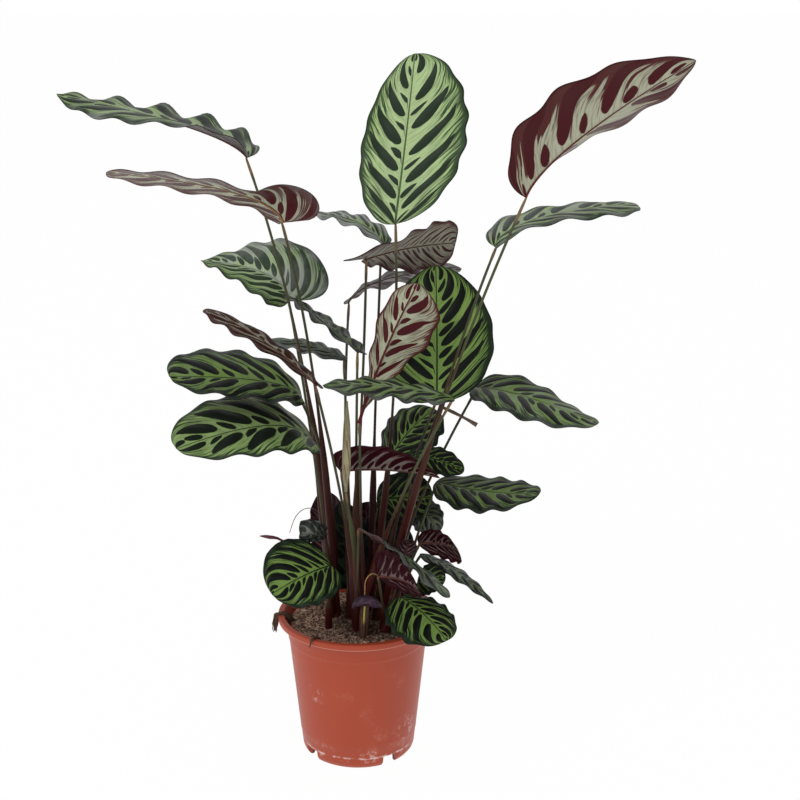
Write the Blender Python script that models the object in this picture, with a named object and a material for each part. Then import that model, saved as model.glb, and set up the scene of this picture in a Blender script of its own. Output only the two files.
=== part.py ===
"""Potted peacock plant: a plastic nursery pot filled with peat, eight shoots and the leaves they carry.

Metres, +Z up. The origin is on the ground, on the pot's axis, and the plant is seen from -Y.
"""

import math

import bmesh
import bpy
from mathutils import Matrix, Vector

# Pot: a tapered wall with a rolled rim, standing on four feet
POT_HEIGHT = 0.157
RIM_RADIUS = 0.0845
RIM_DROP = 0.006
WALL_TOP_RADIUS = 0.0752
BAND_HEIGHT = 0.025
BAND_STEP = 0.0008
POT_BASE_RADIUS = 0.0588
POT_WALL = 0.0016
FLOOR_LEVEL = 0.014
FOOT_CHAMFER = 0.003
NOTCHES = 4
NOTCH_WIDTH = 0.018
NOTCH_HEIGHT = 0.0125
NOTCH_FIRST_ANGLE = math.radians(-144.5)
DRAIN_RADIUS = 0.0045
DRAIN_CIRCLE = 0.040
POT_SIDES = 48

# Peat: fills the pot to just below the rim, and rises a little to the middle
SOIL_LEVEL = 0.147
SOIL_CROWN = 0.004
SOIL_RINGS = 7
SOIL_SIDES = 36

# Every touching pair of pieces keeps this clearance
GAP = 0.0003
STEM_HOLE_GAP = 0.0004
ROOT_DEPTH = 0.022

# Petioles are thin and round. The sheaths that wrap them at the foot of a shoot are thick
PETIOLE_RADIUS = 0.0014
SHEATH_RADIUS = 0.0038
PETIOLE_END_RADIUS = 0.0010
PETIOLE_RING = 0.0034
BLADE_GAP = 0.00055
BLADE_START = 0.004
BLADE_END = 0.0006
STEM_SIDES = 6
STEM_RINGS = 6

# Blades
BLADE_THICKNESS = 0.0009
BLADE_ROWS = 16
SMALL_BLADE = 0.1
SMALL_BLADE_ROWS = 10
BLADE_COLUMNS = 4

# Where each shoot leaves the peat
SHOOT_FEET = {
    "shoot_left": (-0.025, 0.002),
    "shoot_middle": (-0.006, 0.000),
    "shoot_back": (0.010, 0.024),
    "shoot_right": (0.022, -0.004),
    "shoot_front": (0.002, -0.030),
    "shoot_low_right": (0.040, 0.018),
    "shoot_low_front": (0.030, -0.032),
    "shoot_low_left": (-0.030, -0.026),
}

# The young leaf, still rolled up: its half thickness from end to end
ROLLED_RADII = (0.0015, 0.0046, 0.0044, 0.0034, 0.0010)

# The stub of an old sheath in front, and the folded bud that lies across its top
STUB = ((0.007, -0.049, 0.128), (0.007, -0.049, 0.153), (0.008, -0.050, 0.176), (0.009, -0.051, 0.190))
STUB_RADII = (0.0040, 0.0050, 0.0048, 0.0040)
BUD = ((-0.004, -0.054, 0.186), (0.002, -0.055, 0.192), (0.011, -0.055, 0.195), (0.020, -0.053, 0.190),
       (0.026, -0.051, 0.186))
BUD_RADII = (0.0012, 0.0046, 0.0056, 0.0042, 0.0010)

# Colours, as linear RGB, and roughness
COLOURS = {
    "pot": ((0.40, 0.075, 0.035), 0.45),
    "soil": ((0.10, 0.055, 0.03), 0.95),
    "stem": ((0.09, 0.035, 0.02), 0.55),
    "blade": ((0.10, 0.22, 0.05), 0.4),
}


def leaf(name, shoot, base, tip, face, width, **form):
    """One leaf: its shoot, where its blade starts and ends, the way its upper side faces, and its width."""
    spec = dict(
        name=name, shoot=shoot, base=base, tip=tip, face=face, width=width, middle=None,
        arch=0.006, knee=0.5, sway=0.0, lift=(8, 8), unfold=0.0, curl=(-25, -25), twist=0.0, skew=0.0,
        slant=0.0, wave=0.003, frill=(1, 1), waves=4.5, phase=0.0, ruffle=0.02, neck=0.5, point=0.55,
        lobe=(0.001, 0.001), sheath=0.4, rolled=False,
    )
    spec.update(form)
    return spec


# Each blade's arch is how far its midrib bows, and knee is where along it the bow is highest, 0 to 1.
# Lift and curl are degrees, lobe is metres, and frill is the share of the wave, for its left and right half,
# seen from above with the tip ahead.
LEAVES = [
    leaf("leaf_top_left", "shoot_left", (-0.111, 0.080, 0.629), (-0.317, 0.155, 0.682),
         face=(0.3, 0.1, 1), width=0.110, middle=(-0.055, 0.025, 0.42), arch=0.011, knee=0.12,
         lift=(24, 32), unfold=1.15, curl=(-30, -10), twist=-32, skew=-0.06, wave=0.006, frill=(0.4, 1.1),
         waves=5.6, phase=0.82, neck=0.42, point=0.85, lobe=(0, 0)),
    leaf("leaf_left_high", "shoot_left", (-0.069, -0.030, 0.587), (-0.236, -0.060, 0.644),
         face=(0.2, 0.42, 0.9), width=0.084, middle=(-0.040, -0.012, 0.40), arch=0.016, knee=0.1, twist=2,
         lift=(88, 0), unfold=3.2, curl=(-5, -5), neck=0.3, point=0.4, wave=0.002, lobe=(0.008, 0)),
    leaf("leaf_back_high", "shoot_back", (0.027, 0.120, 0.528), (-0.063, 0.155, 0.551),
         face=(0.2, -0.05, 1), width=0.078, arch=0.014, knee=0.3, lift=(22, 6), lobe=(0.002, 0.006)),
    leaf("leaf_top_middle", "shoot_back", (0.040, 0.000, 0.578), (0.060, 0.030, 0.744),
         face=(-0.25, -0.95, 0.2), width=0.105, middle=(0.036, 0.008, 0.36), lift=(4, 4), curl=(-12, -12),
         arch=-0.003, skew=0.15, slant=0.29, waves=6, wave=0.002, neck=0.5, point=0.56, lobe=(0, 0)),
    leaf("leaf_top_right", "shoot_right", (0.168, -0.020, 0.610), (0.323, -0.060, 0.751),
         face=(-0.1, 0.95, 0.35), width=0.114, middle=(0.087, -0.045, 0.40), arch=0.006, knee=0.2,
         sway=0.010, lift=(70, 5), unfold=0.8, curl=(10, -20), skew=0.08, slant=0.1, waves=4.3, phase=0.4,
         ruffle=0.09, neck=0.65, point=0.85, lobe=(0, 0)),
    leaf("leaf_right_level", "shoot_right", (0.141, 0.020, 0.550), (0.289, 0.080, 0.581),
         face=(-0.25, -0.18, 1), width=0.090, middle=(0.090, 0.000, 0.40), arch=0.016, knee=0.08,
         lift=(6, 34), unfold=0.7, wave=0.002, neck=0.4, point=0.45, lobe=(0.002, 0)),
    leaf("leaf_left_pale", "shoot_left", (-0.073, 0.115, 0.466), (-0.169, 0.145, 0.503),
         face=(0.35, -0.35, 0.85), width=0.090, arch=0.020, knee=0.12, lift=(14, 24), skew=0.22, twist=50,
         neck=0.38, point=0.65, lobe=(0.003, 0.007)),
    leaf("leaf_left_edge_on", "shoot_middle", (0.003, 0.010, 0.442), (-0.075, 0.095, 0.479),
         face=(0.65, 0, 0.75), width=0.066, lobe=(0.004, 0.004), lift=(15, 15), arch=0.002),
    leaf("leaf_back_ribbon", "shoot_middle", (-0.012, 0.136, 0.458), (0.112, 0.150, 0.493),
         face=(-0.3, 0.5, 0.8), width=0.050, middle=(-0.014, 0.085, 0.31), arch=0.014, knee=0.2,
         twist=-24, lobe=(0.004, 0.001)),
    leaf("leaf_back_folded", "shoot_middle", (0.009, 0.050, 0.530), (0.104, 0.110, 0.532),
         face=(-0.3, 0.65, 0.6), width=0.072, middle=(0.003, 0.045, 0.34), arch=0.004, twist=-50,
         neck=0.42, point=0.3, lobe=(0, 0.030)),
    leaf("leaf_middle_underside", "shoot_front", (0.003, -0.050, 0.386), (0.063, -0.020, 0.524),
         face=(-0.55, 0.85, 0.05), width=0.065, lift=(5, 62), skew=-0.38, neck=2.0, point=0.7,
         lobe=(0, 0)),
    leaf("leaf_middle_bright", "shoot_right", (0.083, 0.017, 0.386), (0.082, 0.067, 0.519),
         face=(0.1, -0.93, 0.35), width=0.121, slant=0.1, neck=0.42, point=0.6),
    leaf("leaf_left_ribbon", "shoot_front", (-0.036, -0.085, 0.438), (-0.132, -0.172, 0.541),
         face=(0.5, 0.45, 0.7), width=0.076, twist=20, wave=0.002, lobe=(0.002, 0.006)),
    leaf("leaf_left_behind", "shoot_middle", (-0.012, 0.045, 0.423), (-0.098, 0.085, 0.433),
         face=(0.15, 0.1, 1), width=0.056, wave=0.002),
    leaf("leaf_left_bright", "shoot_left", (-0.053, -0.050, 0.413), (-0.177, -0.110, 0.455),
         face=(0.25, -0.25, 0.93), width=0.085, middle=(-0.028, 0.015, 0.28), arch=0.012, knee=0.15,
         skew=0.3, slant=0.02, neck=0.42, point=0.44, lobe=(0.001, 0.003)),
    leaf("leaf_left_low", "shoot_left", (-0.042, -0.045, 0.364), (-0.170, -0.135, 0.390),
         face=(0, -0.4, 0.9), width=0.097, arch=0.024, knee=0.28, skew=0.2, slant=0.08, neck=0.38, point=0.46,
         lobe=(0, 0.004)),
    leaf("leaf_front_level", "shoot_front", (0.099, -0.070, 0.419), (-0.031, -0.080, 0.436),
         face=(0.1, 0.05, 1), width=0.070),
    leaf("leaf_right_low", "shoot_right", (0.125, 0.070, 0.384), (0.249, 0.000, 0.368),
         face=(0.3, -0.12, 0.95), width=0.087, arch=0.006, knee=0.3, lift=(34, 8), unfold=1.4, wave=0.002,
         neck=0.42, lobe=(0, 0.001)),
    leaf("leaf_back_upright", "shoot_back", (0.034, 0.070, 0.303), (0.083, 0.100, 0.350),
         face=(-0.45, -0.45, 0.75), width=0.078, middle=(0.022, 0.065, 0.22), wave=0.002, point=0.45),
    leaf("leaf_low_right", "shoot_low_right", (0.083, 0.040, 0.289), (0.190, -0.010, 0.295),
         face=(-0.1, -0.08, 1), width=0.080, wave=0.002, arch=-0.005),
    leaf("leaf_middle_purple", "shoot_front", (-0.017, -0.020, 0.324), (0.086, -0.025, 0.318),
         face=(0.1, 0.9, 0.4), width=0.056, lift=(70, 5), skew=0.4, neck=0.4, point=0.85, wave=0.002,
         lobe=(0.001, 0.005)),
    leaf("leaf_middle_dark", "shoot_low_right", (0.053, 0.034, 0.321), (0.112, 0.016, 0.310),
         face=(0, -0.5, 0.85), width=0.036, middle=(0.053, 0.028, 0.235), wave=0.0015),
    leaf("leaf_inner_bright", "shoot_back", (0.020, 0.054, 0.264), (0.080, 0.048, 0.268),
         face=(0.05, -0.9, 0.4), width=0.056, wave=0.0015, neck=0.42, point=0.42, lobe=(0, 0)),
    leaf("leaf_inner_grey", "shoot_low_right", (0.058, 0.073, 0.250), (0.087, 0.060, 0.222),
         face=(0.3, -0.6, 0.75), width=0.043, wave=0.0015, lobe=(0, 0)),
    leaf("leaf_low_purple", "shoot_low_front", (0.064, -0.020, 0.243), (0.105, -0.050, 0.247),
         face=(0.3, 0.85, 0.45), width=0.048, wave=0.0015, point=0.3, lobe=(0, 0)),
    leaf("leaf_low_small", "shoot_low_front", (0.050, -0.038, 0.235), (0.055, -0.042, 0.257),
         face=(-0.2, 0.9, 0.3), width=0.020, wave=0.001, arch=0.002, lobe=(0, 0)),
    leaf("leaf_front_purple", "shoot_low_front", (0.022, -0.055, 0.222), (0.065, -0.100, 0.225),
         face=(0.7, 0.6, 0.3), width=0.061, lift=(20, 5), skew=0.36, wave=0.0015, lobe=(0, 0)),
    leaf("leaf_low_ribbon", "shoot_low_front", (0.066, -0.002, 0.224), (0.142, -0.040, 0.184),
         face=(0.55, -0.05, 0.85), width=0.034, wave=0.001, point=0.8, lobe=(0, 0)),
    leaf("leaf_low_dark", "shoot_low_front", (0.063, -0.030, 0.203), (0.092, -0.047, 0.216),
         face=(0.2, -0.7, 0.7), width=0.036, wave=0.001, lobe=(0, 0)),
    leaf("leaf_low_long", "shoot_front", (0.002, -0.055, 0.275), (0.095, -0.100, 0.218),
         face=(0.6, 0.25, 0.75), width=0.052, twist=30, wave=0.002, neck=0.9, point=0.6, lobe=(0, 0)),
    leaf("leaf_front_right", "shoot_low_front", (0.045, -0.045, 0.194), (0.092, -0.100, 0.170),
         face=(0.15, -0.3, 0.95), width=0.072, skew=0.18, wave=0.002, point=0.42),
    leaf("leaf_front_left", "shoot_low_left", (-0.026, -0.042, 0.228), (-0.085, -0.085, 0.215),
         face=(0.05, -0.6, 0.8), width=0.086, lift=(25, 25), curl=(-20, -20), wave=0.002, point=0.45),
    leaf("leaf_left_inner", "shoot_left", (-0.026, 0.060, 0.178), (-0.036, 0.066, 0.268),
         face=(0.1, 0.9, 0.3), width=0.046, wave=0.002, lobe=(0, 0)),
    leaf("leaf_back_inner", "shoot_back", (0.002, 0.078, 0.172), (0.010, 0.086, 0.248),
         face=(-0.1, 0.9, 0.3), width=0.050, wave=0.002, lobe=(0, 0)),
    leaf("leaf_rolled", "shoot_front", (-0.010, -0.049, 0.312), (-0.008, -0.050, 0.410),
         face=(0, -1, 0), width=0.009, arch=0, sheath=0.8, rolled=True),
]


def material(kind):
    made = bpy.data.materials.new(kind)
    made.use_nodes = True
    colour, roughness = COLOURS[kind]
    shader = made.node_tree.nodes["Principled BSDF"]
    shader.inputs["Base Color"].default_value = (*colour, 1)
    shader.inputs["Roughness"].default_value = roughness
    shader.inputs["Metallic"].default_value = 0
    return made


def add_object(name, mesh, kind):
    made = bpy.data.objects.new(name, mesh)
    bpy.context.scene.collection.objects.link(made)
    mesh.materials.clear()
    mesh.materials.append(material(kind))
    mesh.shade_smooth()
    mesh.set_sharp_from_angle(angle=math.radians(40))
    return made


def mesh_from(name, points, faces):
    mesh = bpy.data.meshes.new(name)
    mesh.from_pydata([tuple(p) for p in points], [], faces)
    mesh.update()
    return mesh


def turned(name, profile, sides):
    """A closed ring of (radius, height) points turned round +Z. A point on the axis becomes one vertex."""
    bm = bmesh.new()
    rings = []
    for radius, height in profile:
        if radius == 0:
            rings.append([bm.verts.new((0, 0, height))])
            continue
        turn = [math.tau * i / sides for i in range(sides)]
        rings.append([bm.verts.new((radius * math.cos(a), radius * math.sin(a), height)) for a in turn])
    for lower, upper in zip(rings, rings[1:]):
        for i in range(sides):
            j = (i + 1) % sides
            if len(lower) == 1:
                bm.faces.new((lower[0], upper[j], upper[i]))
            elif len(upper) == 1:
                bm.faces.new((lower[i], lower[j], upper[0]))
            else:
                bm.faces.new((lower[i], lower[j], upper[j], upper[i]))
    bmesh.ops.recalc_face_normals(bm, faces=bm.faces)
    mesh = bpy.data.meshes.new(name)
    bm.to_mesh(mesh)
    bm.free()
    return mesh


def half_width(spec, u, side):
    """Half of the blade's width at u: closed on the petiole, round above it, drawn to a point at the tip."""
    neck, end = spec["neck"], spec["point"]
    widest = neck / (neck + end)
    near, far = max(0.0, u - BLADE_START), max(0.0, 1 - BLADE_START - u)
    shape = (near / widest) ** neck * (far / (1 - widest)) ** end
    turns = spec["waves"] * u + spec["phase"] + 0.3 + 0.45 * side
    ruffle = 1 + spec["ruffle"] * math.sin(math.tau * turns)
    return BLADE_END + spec["width"] / 2 * shape * ruffle * (1 + spec["skew"] * (1 if side else -1))


def blade_frame(spec, u):
    """The midrib's point, direction, rightward direction and upward direction at u."""
    base, tip, face = Vector(spec["base"]), Vector(spec["tip"]), Vector(spec["face"])
    chord = tip - base
    right = chord.cross(face).normalized()
    up = right.cross(chord).normalized()
    knee = base + chord * spec["knee"] + up * (2 * spec["arch"]) + right * (2 * spec["sway"])
    t = u + 1.4 * (0.5 - spec["knee"]) * u * (1 - u)
    point = base * (1 - t) ** 2 + knee * (2 * t * (1 - t)) + tip * t ** 2
    along = ((knee - base) * (1 - t) + (tip - knee) * t).normalized()
    turn = Matrix.Rotation(math.radians(spec["twist"]) * (u - 0.5), 3, along)
    right = turn @ (right - along * right.dot(along)).normalized()
    return point, along, right, right.cross(along)


def blade_point(spec, u, v):
    """The blade's middle surface and its normal. u runs from base to tip, v from -1, left, to 1, right."""
    point, along, right, up = blade_frame(spec, u)
    side = 0 if v < 0 else 1
    sign = -1 if v < 0 else 1
    wide = half_width(spec, u, side)
    reach = wide * abs(v)
    start = math.radians(spec["lift"][side]) * max(0.0, 1 - spec["unfold"] * u)
    bend = math.radians(spec["curl"][side]) * abs(v)
    angle = start + bend
    if abs(bend) > 1e-6:
        across = reach * (math.sin(angle) - math.sin(start)) / bend
        rise = reach * (math.cos(start) - math.cos(angle)) / bend
    else:
        across, rise = reach * math.cos(start), reach * math.sin(start)
    ripple = math.sin(math.tau * (spec["waves"] * u + spec["phase"] + 0.25 * side))
    rise += spec["wave"] * spec["frill"][side] * ripple * v * v * math.sin(math.pi * u) ** 0.5
    chord = (Vector(spec["tip"]) - Vector(spec["base"])).normalized()
    back = chord * (8 * spec["lobe"][side] * wide / spec["width"] * v * v * (1 - u) ** 6)
    middle = point + right * (sign * across) + up * rise + along * (spec["slant"] * sign * reach) - back
    normal = up * math.cos(angle) - right * (sign * math.sin(angle))
    return middle, normal


def blade_mesh(spec):
    """A thin closed sheet. Both faces are split into the same triangles."""
    small = (Vector(spec["tip"]) - Vector(spec["base"])).length < SMALL_BLADE
    rows = SMALL_BLADE_ROWS if small else BLADE_ROWS
    columns = BLADE_COLUMNS
    points = []
    for side in (0.5, -0.5):
        for i in range(rows + 1):
            even = i / rows
            u = BLADE_START + 0.992 * (even - 0.45 * math.sin(math.tau * even) / math.tau)
            for j in range(columns + 1):
                middle, normal = blade_point(spec, u, 2 * j / columns - 1)
                points.append(middle + normal * (BLADE_THICKNESS * side))
    wide = columns + 1
    under = wide * (rows + 1)
    faces = []
    for i in range(rows):
        for j in range(columns):
            a, b = i * wide + j, i * wide + j + 1
            d, c = a + wide, b + wide
            faces += [(a, b, c), (a, c, d)]
            faces += [(under + a, under + c, under + b), (under + a, under + d, under + c)]
    bottom = list(range(wide))
    right = [i * wide + columns for i in range(rows + 1)]
    top = [rows * wide + j for j in range(columns, -1, -1)]
    left = [i * wide for i in range(rows, -1, -1)]
    edge = bottom + right[1:] + top[1:] + left[1:]
    for a, b in zip(edge, edge[1:]):
        faces += [(a, under + a, b), (b, under + a, under + b)]
    return mesh_from(spec["name"], points, faces)


def soil_height(x, y):
    share = math.hypot(x, y) / wall_inside(SOIL_LEVEL)
    return SOIL_LEVEL + SOIL_CROWN * (1 - share * share)


def petiole_foot(spec):
    """Where the petiole leaves the peat: the petioles of one shoot stand in a tight ring."""
    members = [other["name"] for other in LEAVES if other["shoot"] == spec["shoot"]]
    x, y = SHOOT_FEET[spec["shoot"]]
    if len(members) > 1:
        turn = math.tau * members.index(spec["name"]) / len(members)
        x += PETIOLE_RING * math.cos(turn)
        y += PETIOLE_RING * math.sin(turn)
    return Vector((x, y, soil_height(x, y) + 0.002))


def petiole_bend(spec, foot, end):
    """The point halfway along the petiole: by default it rises first and leans out later."""
    if spec["middle"]:
        return Vector(spec["middle"])
    middle = (foot + end) / 2
    middle.xy = foot.xy + (end.xy - foot.xy) * 0.4
    return middle


def petiole_end(spec):
    """Just under the blade's base, clear of it whichever way the petiole comes in."""
    point, along, _, up = blade_frame(spec, BLADE_START)
    if spec["rolled"]:
        return point - along * (2 * BLADE_GAP)
    foot = petiole_foot(spec)
    arrival = (3 * point - 4 * petiole_bend(spec, foot, point) + foot).normalized()
    drop = BLADE_THICKNESS / 2 + BLADE_GAP + PETIOLE_END_RADIUS * arrival.cross(up).length
    return point - up * drop


def petiole_point(spec, t):
    """The petiole's middle line above the peat, through its foot, a middle point and the blade's base."""
    foot, end = petiole_foot(spec), petiole_end(spec)
    middle = petiole_bend(spec, foot, end)
    return foot * ((1 - t) * (1 - 2 * t)) + middle * (4 * t * (1 - t)) + end * (t * (2 * t - 1))


def tube_mesh(name, stations):
    """A closed tube through (point, direction, radius) stations."""
    points, faces = [], []
    for here, along, radius in stations:
        right = along.cross(Vector((0, 1, 0))).normalized()
        front = right.cross(along)
        for k in range(STEM_SIDES):
            a = math.tau * k / STEM_SIDES
            points.append(here + right * (radius * math.cos(a)) + front * (radius * math.sin(a)))
    for i in range(len(stations) - 1):
        for k in range(STEM_SIDES):
            a, b = i * STEM_SIDES + k, i * STEM_SIDES + (k + 1) % STEM_SIDES
            faces.append((a, b, b + STEM_SIDES, a + STEM_SIDES))
    faces.append(tuple(range(STEM_SIDES - 1, -1, -1)))
    faces.append(tuple(len(points) - STEM_SIDES + k for k in range(STEM_SIDES)))
    mesh = mesh_from(name, points, faces)
    bm = bmesh.new()
    bm.from_mesh(mesh)
    bmesh.ops.recalc_face_normals(bm, faces=bm.faces)
    bm.to_mesh(mesh)
    bm.free()
    return mesh


def petiole_mesh(spec):
    """A tube from the root, straight up through the peat, then along the petiole to just under the blade."""
    foot = petiole_foot(spec)
    stations = [(Vector((foot.x, foot.y, SOIL_LEVEL - ROOT_DEPTH)), Vector((0, 0, 1)), SHEATH_RADIUS)]
    for i in range(STEM_RINGS + 1):
        t = i / STEM_RINGS
        here = petiole_point(spec, t)
        along = (petiole_point(spec, t + 0.001) - petiole_point(spec, t - 0.001)).normalized()
        wrap = max(0.0, min(1.0, (spec["sheath"] - t) / 0.2 + 0.5))
        radius = PETIOLE_RADIUS + (SHEATH_RADIUS - PETIOLE_RADIUS) * wrap * wrap * (3 - 2 * wrap)
        if i == STEM_RINGS:
            radius = PETIOLE_END_RADIUS
        stations.append((here, along, radius))
    return tube_mesh(spec["name"] + "_petiole", stations)


def united(name, meshes, kind):
    """One body from meshes that run into each other."""
    if len(meshes) == 1:
        return add_object(name, meshes[0], kind)
    parts = bpy.data.collections.new(name + "_parts")
    helpers = [bpy.data.objects.new(mesh.name, mesh) for mesh in meshes]
    for helper in helpers[1:]:
        parts.objects.link(helper)
    first = helpers[0]
    bpy.context.scene.collection.objects.link(first)
    join = first.modifiers.new("union", "BOOLEAN")
    join.operation = "UNION"
    join.operand_type = "COLLECTION"
    join.collection = parts
    join.solver = "EXACT"
    graph = bpy.context.evaluated_depsgraph_get()
    mesh = bpy.data.meshes.new_from_object(first.evaluated_get(graph))
    for helper in helpers:
        bpy.data.objects.remove(helper)
    bpy.data.collections.remove(parts)
    mesh.name = name
    return add_object(name, mesh, kind)


def pot_profile():
    """Down the outer wall from the rim, under the floor, and up the inner wall."""
    wall_foot = POT_BASE_RADIUS - FOOT_CHAMFER
    return [
        (RIM_RADIUS - 0.0012, POT_HEIGHT),
        (RIM_RADIUS, POT_HEIGHT - 0.0015),
        (RIM_RADIUS, POT_HEIGHT - RIM_DROP),
        (WALL_TOP_RADIUS, POT_HEIGHT - RIM_DROP - 0.002),
        (WALL_TOP_RADIUS - 0.0012, POT_HEIGHT - BAND_HEIGHT),
        (WALL_TOP_RADIUS - 0.0012 - BAND_STEP, POT_HEIGHT - BAND_HEIGHT - 0.001),
        (POT_BASE_RADIUS + 0.001, FOOT_CHAMFER * 2),
        (wall_foot, 0.0),
        (wall_foot - 0.004, 0.0),
        (POT_BASE_RADIUS - 0.008, FLOOR_LEVEL),
        (0.0, FLOOR_LEVEL),
    ], [
        (0.0, FLOOR_LEVEL + POT_WALL),
        (POT_BASE_RADIUS - POT_WALL, FLOOR_LEVEL + POT_WALL),
        (WALL_TOP_RADIUS - POT_WALL - 0.0012, POT_HEIGHT - RIM_DROP - 0.004),
        (RIM_RADIUS - 0.0065, POT_HEIGHT - 0.001),
    ]


def build_pot():
    outer, inner = pot_profile()
    profile = outer + inner
    bm = bmesh.new()
    turn = [math.tau * i / POT_SIDES for i in range(POT_SIDES)]
    rings = []
    for radius, height in profile:
        if radius == 0:
            rings.append([bm.verts.new((0, 0, height))])
        else:
            rings.append([bm.verts.new((radius * math.cos(a), radius * math.sin(a), height)) for a in turn])
    pairs = list(zip(rings, rings[1:] + rings[:1]))
    for upper, lower in pairs:
        for i in range(POT_SIDES):
            j = (i + 1) % POT_SIDES
            if len(upper) == 1 and len(lower) == 1:
                continue
            if len(lower) == 1:
                bm.faces.new((upper[i], upper[j], lower[0]))
            elif len(upper) == 1:
                bm.faces.new((upper[0], lower[j], lower[i]))
            else:
                bm.faces.new((upper[i], upper[j], lower[j], lower[i]))
    bmesh.ops.recalc_face_normals(bm, faces=bm.faces)
    mesh = bpy.data.meshes.new("pot")
    bm.to_mesh(mesh)
    bm.free()
    pot = add_object("pot", mesh, "pot")
    cutters = bpy.data.collections.new("pot_cutters")
    for i in range(NOTCHES):
        angle = NOTCH_FIRST_ANGLE + math.tau * i / NOTCHES
        bm = bmesh.new()
        bmesh.ops.create_cube(bm, size=1)
        cube = bpy.data.meshes.new(f"notch_{i}")
        bm.to_mesh(cube)
        bm.free()
        notch = bpy.data.objects.new(f"notch_{i}", cube)
        out = Vector((math.cos(angle), math.sin(angle), 0))
        cube.transform(
            Matrix.Translation(out * (POT_BASE_RADIUS - 0.003))
            @ Matrix.Rotation(angle, 4, "Z")
            @ Matrix.Diagonal((0.014, NOTCH_WIDTH, 2 * NOTCH_HEIGHT, 1))
        )
        hole = bpy.data.meshes.new(f"drain_{i}")
        bm = bmesh.new()
        bmesh.ops.create_cone(
            bm, cap_ends=True, segments=12, radius1=DRAIN_RADIUS, radius2=DRAIN_RADIUS, depth=0.02,
            matrix=Matrix.Translation(out * DRAIN_CIRCLE + Vector((0, 0, FLOOR_LEVEL))),
        )
        bm.to_mesh(hole)
        bm.free()
        drain = bpy.data.objects.new(f"drain_{i}", hole)
        for cutter in (notch, drain):
            cutter.hide_render = True
            cutter.display_type = "WIRE"
            cutters.objects.link(cutter)
    bpy.context.scene.collection.children.link(cutters)
    cut = pot.modifiers.new("feet_and_drains", "BOOLEAN")
    cut.operand_type = "COLLECTION"
    cut.collection = cutters
    cut.solver = "EXACT"
    return pot


def wall_inside(height):
    """The pot's inner radius at a height, where the peat meets it."""
    low, high = FLOOR_LEVEL + POT_WALL, POT_HEIGHT - RIM_DROP - 0.004
    share = (height - low) / (high - low)
    bottom, top = POT_BASE_RADIUS - POT_WALL, WALL_TOP_RADIUS - POT_WALL - 0.0012
    return bottom + (top - bottom) * share


def build_soil(shoots):
    """The peat, with a plain hole for each shoot."""
    bottom = FLOOR_LEVEL + POT_WALL + GAP
    profile = [(0, bottom), (wall_inside(bottom) - 2 * GAP, bottom)]
    edge = wall_inside(SOIL_LEVEL) - 2 * GAP
    for i in range(SOIL_RINGS):
        share = 1 - i / SOIL_RINGS
        profile.append((edge * share, SOIL_LEVEL + SOIL_CROWN * (1 - share * share)))
    profile.append((0, SOIL_LEVEL + SOIL_CROWN))
    soil = add_object("soil", turned("soil", profile, SOIL_SIDES), "soil")
    cutters = bpy.data.collections.new("soil_cutters")
    for name, (x, y), radius in shoots:
        bm = bmesh.new()
        bmesh.ops.create_cone(
            bm, cap_ends=True, segments=20, radius1=radius, radius2=radius, depth=0.06,
            matrix=Matrix.Translation((x, y, SOIL_LEVEL - ROOT_DEPTH - GAP + 0.03)),
        )
        mesh = bpy.data.meshes.new(name + "_hole")
        bm.to_mesh(mesh)
        bm.free()
        hole = bpy.data.objects.new(name + "_hole", mesh)
        hole.hide_render = True
        hole.display_type = "WIRE"
        cutters.objects.link(hole)
    bpy.context.scene.collection.children.link(cutters)
    cut = soil.modifiers.new("stem_holes", "BOOLEAN")
    cut.operand_type = "COLLECTION"
    cut.collection = cutters
    cut.solver = "EXACT"
    return soil


def spindle(name, points, radii):
    """A slim tapered body through points, each as wide there as its radius."""
    path = [Vector(point) for point in points]
    stations = []
    for i, here in enumerate(path):
        ahead, behind = path[min(i + 1, len(path) - 1)], path[max(i - 1, 0)]
        stations.append((here, (ahead - behind).normalized(), radii[i]))
    return tube_mesh(name, stations)


def build_shoots():
    feet = []
    for name, foot in SHOOT_FEET.items():
        members = [spec for spec in LEAVES if spec["shoot"] == name]
        united(name, [petiole_mesh(spec) for spec in members], "stem")
        ring = PETIOLE_RING if len(members) > 1 else 0
        feet.append((name, foot, ring + SHEATH_RADIUS + STEM_HOLE_GAP))
    united("bud", [spindle("stub", STUB, STUB_RADII), spindle("fold", BUD, BUD_RADII)], "stem")
    feet.append(("bud", STUB[0][:2], STUB_RADII[1] + STEM_HOLE_GAP))
    return feet


for old in list(bpy.data.objects):
    bpy.data.objects.remove(old)

build_pot()
build_soil(build_shoots())
for spec in LEAVES:
    if spec["rolled"]:
        steps = [i / (len(ROLLED_RADII) - 1) for i in range(len(ROLLED_RADII))]
        mesh = spindle(spec["name"], [blade_frame(spec, u)[0] for u in steps], ROLLED_RADII)
        add_object(spec["name"], mesh, "blade")
    else:
        add_object(spec["name"], blade_mesh(spec), "blade")
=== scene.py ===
"""The looks of a potted peacock plant: a plastic nursery pot, peat, petioles and patterned leaves.

Metres, +Z up, seen from -Y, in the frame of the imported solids.
"""

import math
import random
from types import SimpleNamespace

import bpy
from mathutils import Matrix, Vector, noise


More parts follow.
